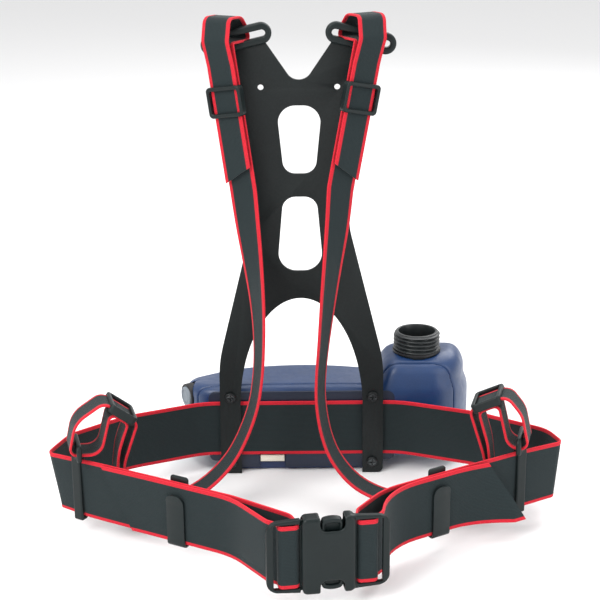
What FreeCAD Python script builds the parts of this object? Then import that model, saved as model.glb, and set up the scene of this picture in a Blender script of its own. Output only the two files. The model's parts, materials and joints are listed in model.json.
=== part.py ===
import FreeCAD, Part
import math
import os

# Belt-worn powered air unit on a harness: a back plate with two shoulder straps, a 50 mm waist belt
# with a side-release buckle, and a blower unit with a battery behind the plate.
# Frame while modelling, in mm: +X to the right of someone facing the wearer's side of the plate,
# +Y away from them (to the blower unit), +Z up, Y = 0 on the plate's front face, Z = 0 under its legs.
# Everything is moved by ORIGIN when it is saved, so that the origin is the middle of the base.

V = FreeCAD.Vector
ORIGIN = V(-4.4, 81.05, 0)

# Back plate
PLATE_T = 3.0
LEG_X = 71.0
SCREW_X = 61.5
SCREW_Z = (10.2, 71.3)
SCREW_REACH = {SCREW_Z[0]: 7.6, SCREW_Z[1]: 15.0}
SMALL_HOLE_X = 31.0
SMALL_HOLE_Z = 340.5
SMALL_HOLE_R = 2.4

# Moulded slot rings at the tops of the plate's arms
RING_X = 50.0
RING_Z = 379.5
RING_TILT = 13.0
RING_LONG = 58.0
RING_HIGH = 17.4
RING_T = 8.0
SLOT_LONG = 48.0
SLOT_HIGH = 5.6
BAR_OFFSET = (RING_HIGH + SLOT_HIGH) / 4

# Webbing
WEB_T = 1.8
BELT_W = 50.0
BELT_LOW = 16.0
BELT_MID = BELT_LOW + BELT_W / 2
STRAP_W = 25.0
GAP = 0.4

# Shoulder straps at the rings
STRAP_X = 57.0
STRAP_YAW = 28.0
STRAP_ROLL = 9.0
RIGHT_STRAP_X = 50.0
RIGHT_ROLL = 12.0
FRONT_N = 17.6
BACK_N = 13.0
TAIL_S = -112.0
RUN_S = -125.0
ADJUSTER_S = -52.0

# Side-release buckle
BUCKLE_AT = V(18.0, -226.5, BELT_MID)
BUCKLE_YAW = 9.0
SHELL_HALF = 20.0
SHELL_T = 14.0
SHELL_H = 61.0
LADDER_HALF = 45.5
BAR_IN = 23.5
BAR_OUT = 36.4
SLOT_OUT = 40.2
WINDOW = (-5.0, 14.0)
PRONG_ROOT = (-14.0, 18.0)
PRONG_ROOT_R = 2.6

# Blower unit
UNIT_FRONT = 8.2
UNIT_SPLIT = 16.0
UNIT_REAR = 70.0
UNIT_LOW = 12.0
UNIT_WALL = 2.5
NECK_X = 102.0
NECK_Y = 39.0
NECK_TOP = 118.2
NECK_R = 18.4
NECK_BORE = 16.0
THREAD_R = 20.2
THREAD_PITCH = 3.63
BLOCK_TOP = 100.0
PORT_X = (-45.0, 27.0)
PORT_Z = 46.0
PORT_R = 20.0
PORT_DEEP = 9.0
FAN_X = NECK_X
FAN_BACK = 48.0
FAN_Z = 54.0
BATTERY_X = 66.0
LATCH_X = -26.0
CONTACT_X = (-8, 0, 8)


# ---------------------------------------------------------------- helpers

def box(x0, x1, y0, y1, z0, z1):
    return Part.makeBox(x1 - x0, y1 - y0, z1 - z0, V(x0, y0, z0))


def rod(radius, start, end):
    return Part.makeCylinder(radius, (end - start).Length, start, end - start)


def tube(outer, inner, start, end):
    return rod(outer, start, end).cut(rod(inner, start, end))


def mirrored(shape):
    return shape.mirror(V(0, 0, 0), V(1, 0, 0))


def mirrored_in_y(shape):
    return shape.mirror(V(0, 0, 0), V(0, 1, 0))


def local(origin, x_dir, y_dir):
    """Placement that puts local X and Y along the given directions."""
    turn = FreeCAD.Rotation(x_dir, y_dir, x_dir.cross(y_dir), "XYZ")
    return FreeCAD.Placement(origin, turn)


def place(shape, placement):
    moved = shape.copy()
    moved.Placement = placement.multiply(moved.Placement)
    return moved


def outline(points):
    """Closed wire in local XY through (x, y, corner radius) points."""
    count = len(points)
    corners = []
    for i, (x, y, radius) in enumerate(points):
        here = V(x, y, 0)
        before = (V(*points[i - 1][:2], 0) - here).normalize()
        after = (V(*points[(i + 1) % count][:2], 0) - here).normalize()
        half = before.getAngle(after) / 2
        if radius == 0 or abs(half - math.pi / 2) < 0.001:
            corners.append((here, here, here))
            continue
        reach = radius / math.tan(half)
        middle = (before + after).normalize()
        corners.append((here + before * reach,
                        here + middle * (radius / math.sin(half) - radius),
                        here + after * reach))
    edges = []
    for i, (first, middle, last) in enumerate(corners):
        if (first - last).Length > 0.001:
            edges.append(Part.Arc(first, middle, last).toShape())
        following = corners[(i + 1) % count][0]
        if (last - following).Length > 0.001:
            edges.append(Part.LineSegment(last, following).toShape())
    return Part.Wire(edges)


def slab(points, low, high):
    """Outline in local XY, extruded along local Z from low to high."""
    face = Part.Face(outline(points))
    face.translate(V(0, 0, low))
    return face.extrude(V(0, 0, high - low))


def upright(shape, y=0.0):
    """Turns local XY into world XZ, with local Z towards -Y."""
    return place(shape, local(V(0, y, 0), V(1, 0, 0), V(0, 0, 1)))


def stadium(length, height, low, high):
    r = height / 2
    x = length / 2
    return slab([(-x, -r, r * 0.999), (x, -r, r * 0.999), (x, r, r * 0.999), (-x, r, r * 0.999)],
                low, high)


def path_side(path, offset):
    """Edges of a path of (x, y, bend radius) points, moved sideways by offset (left is positive)."""
    points = [V(x, y, 0) for x, y, _ in path]
    ways = [(b - a).normalize() for a, b in zip(points, points[1:])]
    lefts = [V(-w.y, w.x, 0) for w in ways]
    edges = []
    last = points[0] + lefts[0] * offset
    for i in range(1, len(points) - 1):
        radius = path[i][2]
        turn = math.atan2(ways[i - 1].cross(ways[i]).z, ways[i - 1].dot(ways[i]))
        side = math.copysign(1, turn)
        reach = radius * math.tan(abs(turn) / 2)
        centre = points[i] - ways[i - 1] * reach + lefts[i - 1] * side * radius
        first = points[i] - ways[i - 1] * reach + lefts[i - 1] * offset
        end = points[i] + ways[i] * reach + lefts[i] * offset
        middle = centre + (points[i] - centre).normalize() * (radius - side * offset)
        edges.append(Part.LineSegment(last, first).toShape())
        edges.append(Part.Arc(first, middle, end).toShape())
        last = end
    edges.append(Part.LineSegment(last, points[-1] + lefts[-1] * offset).toShape())
    return edges


def band(path, width, thick=WEB_T):
    """A strip of webbing or sheet that follows a path in local XY, width along local Z."""
    left = path_side(path, thick / 2)
    right = path_side(path, -thick / 2)
    start = Part.LineSegment(right[0].firstVertex(True).Point, left[0].firstVertex(True).Point).toShape()
    end = Part.LineSegment(left[-1].lastVertex(True).Point, right[-1].lastVertex(True).Point).toShape()
    wire = Part.Wire(Part.__sortEdges__(left + right + [start, end]))
    face = Part.Face(wire)
    face.translate(V(0, 0, -width / 2))
    return face.extrude(V(0, 0, width))


def section(centre, along, across, width, thick=WEB_T):
    """Rectangle wire of a strap at one place of its run."""
    flat = across.normalize()
    normal = along.cross(flat).normalize()
    a = flat * (width / 2)
    b = normal * (thick / 2)
    corners = [centre + a + b, centre - a + b, centre - a - b, centre + a - b]
    return Part.makePolygon(corners + [corners[0]])


# ---------------------------------------------------------------- back plate and slot rings

def arch():
    """The half-ellipse between the legs, open at the floor."""
    ellipse = Part.Ellipse(V(0, 161.4, 0), V(53.0, 60, 0), V(0, 60, 0))
    face = Part.Face(Part.Wire([ellipse.toShape()]))
    opening = face.extrude(V(0, 0, 20)).fuse(box(-53.0, 53.0, -5, 60, 0, 20))
    opening.translate(V(0, 0, -10))
    return opening


def ring_blank(side):
    """Outer oval of a slot ring, tilted down outwards."""
    tilt = math.radians(RING_TILT)
    blank = stadium(RING_LONG, RING_HIGH, -RING_T / 2, RING_T / 2)
    x_dir = V(math.cos(tilt), 0, -side * math.sin(tilt))
    y_dir = V(side * math.sin(tilt), 0, math.cos(tilt))
    return blank, local(V(side * RING_X, PLATE_T / 2, RING_Z), x_dir, y_dir)


def slot_ring(side):
    blank, where = ring_blank(side)
    blank = blank.makeFillet(1.2, blank.Edges)
    slot = stadium(SLOT_LONG, SLOT_HIGH, -RING_T, RING_T)
    return place(blank.cut(slot), where)


def back_plate():
    half = [(LEG_X, 0, 5), (LEG_X - 0.5, 104, 110), (40.0, 227, 60), (64, 372, 0), (27.5, 378, 0),
            (5.9, 346.4, 11)]
    points = half + [(-x, z, r) for x, z, r in reversed(half)]
    sheet = slab(points, -PLATE_T, 0)
    upper = [(-13, 268.8, 10.5), (13, 268.8, 10.5), (18.8, 325.6, 14), (-18.8, 325.6, 14)]
    lower = [(-19.5, 185.3, 15), (19.5, 185.3, 15), (13.8, 249.5, 11), (-13.8, 249.5, 11)]
    for cutter in (arch(), slab(upper, -10, 10), slab(lower, -10, 10)):
        sheet = sheet.cut(cutter)
    sheet = upright(sheet)
    for side in (-1, 1):
        small = rod(SMALL_HOLE_R, V(side * SMALL_HOLE_X, -5, SMALL_HOLE_Z),
                    V(side * SMALL_HOLE_X, 10, SMALL_HOLE_Z))
        blank, where = ring_blank(side)
        sheet = sheet.cut(small).cut(place(blank, where))
        for z in SCREW_Z:
            sheet = sheet.cut(rod(2.2, V(side * SCREW_X, -5, z), V(side * SCREW_X, 10, z)))
    return sheet


def plate_screw(x, z):
    head = rod(4.6, V(x, -1.9, z), V(x, 0, z))
    head = head.makeFillet(0.9, [e for e in head.Edges if abs(e.BoundBox.YMax + 1.9) < 0.01])
    recess = box(x - 2.8, x + 2.8, -2, -0.8, z - 0.5, z + 0.5)
    recess = recess.fuse(box(x - 0.5, x + 0.5, -2, -0.8, z - 2.8, z + 2.8))
    return head.cut(recess).fuse(rod(2.0, V(x, 0, z), V(x, SCREW_REACH[z], z)))


def plate_screws():
    return Part.makeCompound([plate_screw(side * SCREW_X, z) for side in (-1, 1) for z in SCREW_Z])


# ---------------------------------------------------------------- shoulder straps

def strap_frame(x, roll):
    """Frame at a ring's upper bar: local X towards the wearer, local Y up the strap."""
    yaw = math.radians(STRAP_YAW)
    lean = math.radians(roll)
    across = V(math.cos(yaw), -math.sin(yaw), 0)
    up = V(0, 0, 1) * math.cos(lean) - across * math.sin(lean)
    flat = V(-math.sin(yaw), -math.cos(yaw), 0)
    tilt = math.radians(RING_TILT)
    height = RING_Z - (x - RING_X) * math.tan(tilt) + BAR_OFFSET / math.cos(tilt)
    return local(V(-x, PLATE_T / 2, height), flat, up)


def strap_top():
    """Front layer, the loop over the ring's bar and through the slot, and the layer behind."""
    path = [(FRONT_N, TAIL_S - 6, 0), (FRONT_N, -24, 20), (FRONT_N + 2.6, -4, 9), (12, 13.4, 8),
            (-7, 13.2, 8), (-13, 3, 5), (-13, -BAR_OFFSET, 3), (BACK_N, -BAR_OFFSET, 3.2),
            (BACK_N, RUN_S, 0)]
    strap = band(path, STRAP_W)
    cut = slab([(FRONT_N - 2, TAIL_S + 6, 0), (FRONT_N - 2, TAIL_S - 20, 0),
                (FRONT_N + 3, TAIL_S - 20, 0), (FRONT_N + 3, TAIL_S + 6, 0)], -20, 20)
    slope = local(V(0, TAIL_S, 0), V(1, 0, 0), V(0, math.cos(0.45), math.sin(0.45)))
    keep = place(Part.makeBox(80, 200, 60, V(-40, 0, -30)), slope)
    return strap.cut(cut.cut(keep))


def strap_adjuster():
    """Three-bar slider: two end bars in front, the middle bar between the two layers."""
    half_w = STRAP_W / 2 + GAP
    back = BACK_N + WEB_T / 2 + 0.3
    front = FRONT_N + WEB_T / 2 + 0.3
    outer = box(back, front + 2.8, ADJUSTER_S - 12.5, ADJUSTER_S + 12.5, -half_w - 2.7, half_w + 2.7)
    outer = outer.makeFillet(2.4, [e for e in outer.Edges if e.BoundBox.XLength > 5])
    inner = box(back - 1, front + 4, ADJUSTER_S - 9, ADJUSTER_S + 9, -half_w, half_w)
    under = box(back - 1, front, ADJUSTER_S - 14, ADJUSTER_S + 14, -half_w, half_w)
    bar = box(back, FRONT_N - WEB_T / 2 - 0.3, ADJUSTER_S - 4, ADJUSTER_S + 4, -half_w - 1, half_w + 1)
    return outer.cut(inner).cut(under).fuse(bar)


def facing(yaw):
    turn = math.radians(yaw)
    return V(math.cos(turn), -math.sin(turn), 0)


# Stations of each strap's free run on the -X side: (x, y, z, yaw of its width)
LEFT_RUN = [(-42.8, -22, 232, 36), (-39, -26, 200, 48), (-35.8, -31, 168, 60), (-34.6, -38, 138, 68),
            (-36, -46, 108, 72), (-41, -55, 82, 74), (-52, -66, 57, 75), (-65, -75, 40, 75),
            (-83, -85, 27, 75), (-104, -93, 20, 75), (-125, -99, 21, 75), (-139, -102.3, 30, 75.5)]
RIGHT_RUN = [(-30.5, -22, 232, 36), (-26.5, -26, 200, 48), (-22.5, -31, 168, 58), (-19, -38, 138, 66),
             (-16, -46, 108, 70), (-16, -53, 86, 72), (-20, -62, 64, 74), (-28, -71, 46, 75),
             (-42, -80, 31, 75), (-60, -87, 22, 75), (-82, -92, 18, 75), (-108, -95, 18, 75),
             (-128, -96.6, 22, 75), (-143.5, -98, 31, 75.5)]


# ---------------------------------------------------------------- side loops at the belt

SIDE_YAW = 75.5
SIDE_START = 46.0


class Side:
    """Where one side's hanger eye and adjuster stand. Built on the -X side."""

    def __init__(self, eye, reach, height, tilt, belt_way):
        self.eye = eye
        self.reach = reach
        self.height = height
        self.tilt = math.radians(tilt)
        self.belt_way = belt_way
        across = facing(SIDE_YAW)
        self.inward = V(-across.y, across.x, 0)
        self.frame = local(V(eye.x, eye.y, 0), self.inward, V(0, 0, 1))

    def world(self, a, z):
        return V(self.eye.x, self.eye.y, z) + self.inward * a

    def on_adjuster(self, along, out):
        """Plane coordinates of a point in the adjuster's own frame."""
        c, s = math.cos(self.tilt), math.sin(self.tilt)
        return (self.reach + along * c + out * s, self.height - along * s + out * c)


LEFT = Side(V(-178, -111.3, 0), 34.0, 102.0, 38.0, V(0.851, -0.526, 0))
RIGHT = Side(V(-174, -104.8, 0), 25.5, 106.0, 26.0, V(0.878, -0.479, 0))
LAYER = 2.3
EYE_Z = 73.0


def side_loop(side):
    """From the rising strap over the adjuster, round the hanger's eye, back and down to a tail."""
    top_in = side.on_adjuster(15, LAYER)
    top_out = side.on_adjuster(-17, LAYER)
    low_out = side.on_adjuster(-8, -LAYER)
    low_in = side.on_adjuster(9, -LAYER)
    shoulder = (-1.5, (top_out[1] + EYE_Z) / 2 + 6)
    path = [(side.reach + 1, SIDE_START, 0), (side.reach + 1, SIDE_START + 14, 40), (*top_in, 6),
            (*top_out, 9), (*shoulder, 22), (-7.5, EYE_Z, 5.5), (low_out[0] - 9, EYE_Z - 2, 11),
            (*low_out, 4), (*low_in, 5), (low_in[0] - 8, EYE_Z, 60), (low_in[0] - 12, 47, 0)]
    return place(band(path, STRAP_W), side.frame)


def side_adjuster(side):
    """Three-bar slider on the side loop."""
    half_w = STRAP_W / 2 + GAP
    low = -LAYER + WEB_T / 2 + 0.3
    high = LAYER + WEB_T / 2 + 0.3
    outer = box(-13.5, 13.5, low, high + 2.6, -half_w - 2.7, half_w + 2.7)
    outer = outer.makeFillet(2.4, [e for e in outer.Edges if e.BoundBox.YLength > 4])
    window = box(-10, 10, low - 1, high + 4, -half_w, half_w)
    under = box(-15, 15, low - 1, high, -half_w, half_w)
    bar = box(-4, 4, low, LAYER - WEB_T / 2 - 0.3, -half_w - 1, half_w + 1)
    piece = outer.cut(window).cut(under).fuse(bar)
    x, y = side.on_adjuster(0, 0)
    turn = local(V(x, y, 0), V(math.cos(side.tilt), -math.sin(side.tilt), 0),
                 V(math.sin(side.tilt), math.cos(side.tilt), 0))
    return place(place(piece, turn), side.frame)


def strap_hanger(side):
    """Flat frame round the belt with an eye above it, moulded in one."""
    top = BELT_LOW + BELT_W + 0.6
    out = WEB_T / 2 + 0.45
    frame = box(-out - 2.2, out + 2.2, BELT_LOW - 3.2, top + 2.4, -4.3, 4.3)
    frame = frame.makeFillet(1.0, frame.Edges)
    frame = frame.cut(box(-out, out, BELT_LOW - 0.6, top, -9, 9))
    outward = V(side.belt_way.y, -side.belt_way.x, 0)
    frame = place(frame, local(V(side.eye.x, side.eye.y, 0), outward, V(0, 0, 1)))
    eye = slab([(-16.6, top + 0.2, 3), (16.6, top + 0.2, 3), (16.6, 81.4, 6), (-16.6, 81.4, 6)], -2, 2)
    slot = slab([(-13.2, 70.0, 1.5), (13.2, 70.0, 1.5), (13.2, 75.8, 1.5), (-13.2, 75.8, 1.5)], -5, 5)
    eye = eye.makeFillet(0.9, eye.Edges).cut(slot)
    return frame.fuse(place(eye, local(V(side.eye.x, side.eye.y, 0), facing(SIDE_YAW), V(0, 0, 1))))


def shoulder_strap(side, x, roll, run):
    """One length of webbing: top loop, twisting free run, and the loop at the belt."""
    frame = strap_frame(x, roll)
    start = frame.multVec(V(BACK_N, RUN_S, 0))
    above = frame.multVec(V(BACK_N, RUN_S + 8, 0))
    across = frame.Rotation.multVec(V(0, 0, -1))
    end = side.world(side.reach + 1, SIDE_START)
    below = side.world(side.reach + 1, SIDE_START - 5)
    stations = [(start, across)] + [(V(a, b, z), facing(yaw)) for a, b, z, yaw in run]
    stations += [(below, facing(SIDE_YAW)), (end, facing(SIDE_YAW))]
    wires = [section(start, start - above, across, STRAP_W)]
    for i in range(1, len(stations) - 1):
        way = stations[i + 1][0] - stations[i - 1][0]
        wires.append(section(stations[i][0], way, stations[i][1], STRAP_W))
    wires.append(section(end, V(0, 0, 1), facing(SIDE_YAW), STRAP_W))
    run_solid = Part.makeLoft(wires, True, False)
    return place(strap_top(), frame).fuse(run_solid).fuse(side_loop(side)).removeSplitter()


# ---------------------------------------------------------------- buckle

def buckle_frame():
    """Local X along the buckle to its right end, local Y up, local Z away from the wearer."""
    yaw = math.radians(BUCKLE_YAW)
    return local(BUCKLE_AT, V(math.cos(yaw), math.sin(yaw), 0), V(0, 0, 1))


def buckle_point(along, out):
    point = buckle_frame().multVec(V(along, 0, out))
    return (point.x, point.y)


def ladder(inner_end):
    """Right-hand ladder frame: two slots with a bar between, from the body to the outer bar."""
    frame = slab([(inner_end, -29.5, 2), (LADDER_HALF, -27.5, 8), (LADDER_HALF, 27.5, 8),
                  (inner_end, 29.5, 2)], -1.8, 3.6)
    frame = frame.makeFillet(1.0, [e for e in frame.Edges if e.BoundBox.ZLength < 0.01])
    for low, high in ((SHELL_HALF + 0.3, BAR_IN), (BAR_OUT, SLOT_OUT)):
        frame = frame.cut(box(low, high, -25.6, 25.6, -9, 9))
    frame = frame.cut(box(BAR_IN - 1, BAR_OUT + 1, -25.6, 25.6, 1.3, 9))
    return frame.cut(box(SHELL_HALF + 0.3, LADDER_HALF + 5, -25.6, 25.6, -9, -1.3))


def buckle_female():
    """Hollow shell, notched above and below for the buttons, with the right-hand ladder."""
    half = SHELL_H / 2
    shell = slab([(-SHELL_HALF, -half, 4), (SHELL_HALF, -half, 4), (SHELL_HALF, half, 4),
                  (-SHELL_HALF, half, 4)], -SHELL_T / 2, SHELL_T / 2)
    shell = shell.makeFillet(2.2, [e for e in shell.Edges if e.BoundBox.ZLength < 0.01])
    shell = shell.cut(box(-SHELL_HALF - 1, SHELL_HALF - 3, -28.8, 28.8, -4.2, 4.2))
    for low, high in ((20.0, half + 1), (-half - 1, -20.0)):
        shell = shell.cut(slab([(WINDOW[0], low, 3), (WINDOW[1], low, 3), (WINDOW[1], high, 3),
                                (WINDOW[0], high, 3)], -9, 9))
    return place(shell.fuse(ladder(SHELL_HALF - 1)), buckle_frame())


def buckle_male():
    """Ladder frame, with a yoke and a guide tongue that go inside the shell."""
    frame = mirrored(ladder(SHELL_HALF + 0.2)).cut(box(-SHELL_HALF - 0.4, 0, -40, 40, -9, 9))
    base = box(-BAR_IN - 3, -SHELL_HALF - 0.4, -29, -25.6, -1.8, 3.6)
    base = base.fuse(mirrored_in_y(base))
    yoke = box(-SHELL_HALF - 0.6, -15, -28.4, 28.4, -1.3, 1.3)
    yoke = yoke.fuse(box(-SHELL_HALF + 0.4, -15, -24, 24, -3.6, 3.6))
    tongue = slab([(-16, -5, 0), (12, -4, 2), (12, 4, 2), (-16, 5, 0)], -3.6, 3.6)
    whole = frame.fuse(base).fuse(yoke).fuse(tongue)
    for side in (-1, 1):
        whole = whole.cut(rod(PRONG_ROOT_R + 0.3, V(PRONG_ROOT[0], side * PRONG_ROOT[1], -9),
                              V(PRONG_ROOT[0], side * PRONG_ROOT[1], 9)))
    return place(whole, buckle_frame())


def buckle_prong(side):
    """Springy arm of the male half, with the button that shows in the shell's window."""
    arm = [(-14.4, 15, 1), (-14.4, 21, 1), (-6.5, 22.5, 3), (-3.8, 28.3, 2.5), (7.5, 28.3, 6),
           (13.6, 21, 2.5), (13.6, 16, 1.5), (6, 20, 5), (-4, 18, 6)]
    prong = slab(arm, -3.4, 3.4).fuse(rod(PRONG_ROOT_R, V(*PRONG_ROOT, -3.4), V(*PRONG_ROOT, 3.4)))
    prong = mirrored_in_y(prong) if side < 0 else prong
    return place(prong.removeSplitter(), buckle_frame())


# ---------------------------------------------------------------- waist belt

LEFT_TURNS = [(-85, 4.4, 60), (-150, -25, 80), (-191, -62, 30), (-199.5, -98, 6), (-172, -115, 50),
              (-106, -152, 150)]
RIGHT_TURNS = [(85, 4.4, 60), (150, -23, 80), (201.5, -60, 25), (208.5, -86, 6), (170, -107, 50),
               (120, -137, 150)]
LEFT_BEND = (-52, -182.5)
RIGHT_BEND = (61, -173)
LAYER_STEP = 2.6
KEEPER_W = 16.0
SPLIT_LEFT_X = -62.0


def beside(point, before, after):
    """A path point moved outwards by one layer of webbing."""
    way = V(after[0] - before[0], after[1] - before[1], 0).normalize()
    out = V(way.y, -way.x, 0)
    out = out if out.y < 0 else out * -1
    return (point[0] + out.x * LAYER_STEP, point[1] + out.y * LAYER_STEP)


def ladder_path(side):
    """Through the inner slot to the front, over the bar, and back through the outer slot."""
    inner = side * (SHELL_HALF + BAR_IN) / 2 + side * 0.1
    outer = side * (BAR_OUT + SLOT_OUT) / 2
    return [(*buckle_point(inner + side * 3, -17), 12), (*buckle_point(inner, -4.4), 6),
            (*buckle_point(inner, 2.6), 1.6), (*buckle_point(outer, 2.6), 1.6),
            (*buckle_point(outer, -5.5), 6), (*buckle_point(outer + side * 1.5, -18), 12)]


def belt_half(side, turns, bend, tail):
    """From the middle of the back, round the hoop, through the ladder and back to the tail's end."""
    last = turns[-1]
    path = [(0, turns[0][1], 0)] + turns + [(*bend, 60)] + ladder_path(side)
    path += [(*beside(bend, last, bend), 60), (*beside(last, last, bend), 150)]
    path += [(*beside(tail, tail, last), 0)]
    return place(band(path, BELT_W), FreeCAD.Placement(V(0, 0, BELT_MID), FreeCAD.Rotation()))


def tail_cut(upper_x, lower_x, y):
    """Everything past the slanting end of a tail, in front of the inner layer."""
    high = BELT_LOW + BELT_W
    side = math.copysign(1, upper_x)
    far = side * 260
    points = [(upper_x, high + 2, 0), (far, high + 2, 0), (far, BELT_LOW - 2, 0),
              (lower_x, BELT_LOW - 2, 0)]
    return upright(slab(points, -y, 200))


def belt():
    """The whole waist belt, as its left tail, its left end at the buckle, and the rest."""
    left_tail = (-163, -119.9)
    right_tail = (170, -107)
    left = belt_half(-1, LEFT_TURNS, LEFT_BEND, left_tail)
    right = belt_half(1, RIGHT_TURNS, RIGHT_BEND, right_tail)
    left = left.cut(outside_layer(-1, LEFT_TURNS).common(tail_cut(-159, -131, 80)))
    right = right.cut(outside_layer(1, RIGHT_TURNS).common(tail_cut(145, 167, 80)))
    near = box(SPLIT_LEFT_X, 20, -260, -100, 0, 100)
    end = left.common(near)
    pieces = left.cut(near).Solids
    rest = [s for s in pieces if s.BoundBox.YMax > 0][0]
    tail = [s for s in pieces if s.BoundBox.YMax < 0][0]
    return {"waist_belt": rest.fuse(right).removeSplitter(), "belt_tail_left": tail,
            "belt_end_left": end}


def outside_layer(side, turns):
    """A thick strip that holds the outer layer of the front belt and not the inner one."""
    a, b = turns[-2], turns[-1]
    bend = LEFT_BEND if side < 0 else RIGHT_BEND
    way = V(b[0] - a[0], b[1] - a[1], 0).normalize()
    out = V(way.y, -way.x, 0)
    out = out if out.y < 0 else out * -1
    start = V(a[0], a[1], 0) - way * 30 + out * (LAYER_STEP / 2)
    corner = V(b[0], b[1], 0) + out * (LAYER_STEP / 2)
    points = [start, corner, corner + out * 40, start + out * 40]
    strip = Part.Face(Part.makePolygon(points + [start]))
    return strip.extrude(V(0, 0, 100))


def belt_keeper(at, way):
    """J-shaped clip that holds the tail to the belt: up behind, under, and up in front."""
    clear = WEB_T / 2 + GAP + 0.9
    low = BELT_LOW - GAP - 1.6
    path = [(-clear, 70, 0), (-clear, low, 2.6), (LAYER_STEP + clear, low, 2.6),
            (LAYER_STEP + clear, 50, 30), (LAYER_STEP + clear + 1.8, 57.5, 0)]
    half = KEEPER_W / 2
    tip = slab([(-half, 0, 0), (half, 0, 0), (half, 57.0, 6.5), (-half, 57.0, 6.5)], -20, 0)
    tab = slab([(-half, 0, 0), (half, 0, 0), (half, 70.0, 2.5), (-half, 70.0, 2.5)], 0, 20)
    face_on = local(V(0, 0, 0), V(0, 0, 1), V(0, 1, 0))
    clip = band(path, KEEPER_W, 1.8).common(place(tip.fuse(tab), face_on))
    outward = V(way.y, -way.x, 0)
    outward = outward if outward.y < 0 else outward * -1
    return place(clip, local(at, outward, V(0, 0, 1)))


# ---------------------------------------------------------------- blower unit

PLAN = [(-87, UNIT_FRONT, 12), (-109, 40, 8), (-109, UNIT_REAR - 12, 12), (-78, UNIT_REAR, 50),
        (149, UNIT_REAR, 16), (149, 40, 12), (126, UNIT_FRONT, 12)]
BODY_FRONT = [(-109, UNIT_LOW, 9), (-68, UNIT_LOW, 0), (-68, 16.3, 0), (68, 16.3, 0),
              (68, UNIT_LOW, 0), (100, UNIT_LOW, 0), (100, 78, 0), (-109, 78, 16)]
BLOCK_FRONT = [(66, 16.3, 0), (68, 16.3, 0), (68, UNIT_LOW, 0), (149, UNIT_LOW, 9),
               (149, BLOCK_TOP, 16), (66, BLOCK_TOP, 14)]
BODY_SIDE = [(UNIT_FRONT, UNIT_LOW, 3), (UNIT_REAR, UNIT_LOW, 6), (UNIT_REAR, 78, 12),
             (UNIT_FRONT, 78, 3)]
BLOCK_SIDE = [(UNIT_FRONT, UNIT_LOW, 3), (UNIT_REAR, UNIT_LOW, 6),
              (UNIT_REAR, BLOCK_TOP, 14), (UNIT_FRONT, BLOCK_TOP, 18)]


def inset_slab(points, inset, low, high):
    face = Part.Face(outline(points))
    if inset:
        face = face.makeOffset2D(-inset)
    face.translate(V(0, 0, low))
    return face.extrude(V(0, 0, high - low))


def unit_solid(inset):
    """The unit's outer form, or the same form smaller by the wall."""
    plan = inset_slab(PLAN, inset, 0, 140)
    sideways = local(V(0, 0, 0), V(0, 1, 0), V(0, 0, 1))
    body = upright(inset_slab(BODY_FRONT, inset, -120, 0))
    body = body.common(place(inset_slab(BODY_SIDE, inset, -140, 160), sideways))
    block = upright(inset_slab(BLOCK_FRONT, inset, -120, 0))
    block = block.common(place(inset_slab(BLOCK_SIDE, inset, -140, 160), sideways))
    return body.fuse(block).common(plan).removeSplitter()


CASE_SCREWS = [(-84, 24), (-84, 64), (122, 22), (128, 82), (76, 88)]
CAP_AT = V(-98.9, 32.0, 61.0)
CAP_OUT = V(-0.864, -0.503, 0)


def casings():
    """Front cover and rear tub, both hollow, meeting at a plane."""
    shell = unit_solid(0).cut(unit_solid(UNIT_WALL))
    within = unit_solid(UNIT_WALL / 2)
    front = shell.common(box(-200, 200, 0, UNIT_SPLIT, 0, 140))
    rear = shell.common(box(-200, 200, UNIT_SPLIT, 120, 0, 140))
    front = front.fuse([rod(4.2, V(s * SCREW_X, UNIT_FRONT + 1, SCREW_Z[1]),
                            V(s * SCREW_X, UNIT_SPLIT - 0.2, SCREW_Z[1])) for s in (-1, 1)])
    front = front.fuse([rod(3.8, V(x, UNIT_FRONT + 1, z), V(x, UNIT_SPLIT, z)) for x, z in CASE_SCREWS])
    for s in (-1, 1):
        front = front.cut(rod(2.1, V(s * SCREW_X, 0, SCREW_Z[1]), V(s * SCREW_X, 15.2, SCREW_Z[1])))
    for x, z in CASE_SCREWS:
        front = front.cut(rod(1.5, V(x, 10.5, z), V(x, 20, z)))
        boss = rod(4.8, V(x, UNIT_SPLIT, z), V(x, UNIT_REAR, z))
        rear = rear.fuse(boss.common(within))
        rear = rear.cut(rod(3.5, V(x, 30, z), V(x, 120, z))).cut(rod(1.65, V(x, 10, z), V(x, 40, z)))
    rear = rear.fuse(box(-63, 63, UNIT_SPLIT, 54, 16.3, 37)).cut(box(-61, 61, 18, 52, 0, 35))
    for x in CONTACT_X:
        rear = rear.cut(rod(1.3, V(x, 40, 30), V(x, 40, 40)))
    rear = rear.cut(rod(NECK_R + 0.3, V(NECK_X, NECK_Y, 96.2), V(NECK_X, NECK_Y, 140)))
    for x in PORT_X:
        rear = rear.cut(rod(22.2, V(x, 62, PORT_Z), V(x, 120, PORT_Z)))
    rear = rear.cut(rod(11.2, CAP_AT - CAP_OUT * 12, CAP_AT + CAP_OUT * 12))
    return {"casing_front": front.removeSplitter(), "casing_rear": rear}


def case_screws():
    screws = []
    for x, z in CASE_SCREWS:
        head = rod(3.0, V(x, 30, z), V(x, 32.4, z)).cut(box(x - 2, x + 2, 31.6, 33, z - 0.4, z + 0.4))
        screws.append(head.fuse(rod(1.5, V(x, 11, z), V(x, 30, z))))
    return Part.makeCompound(screws)


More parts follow.
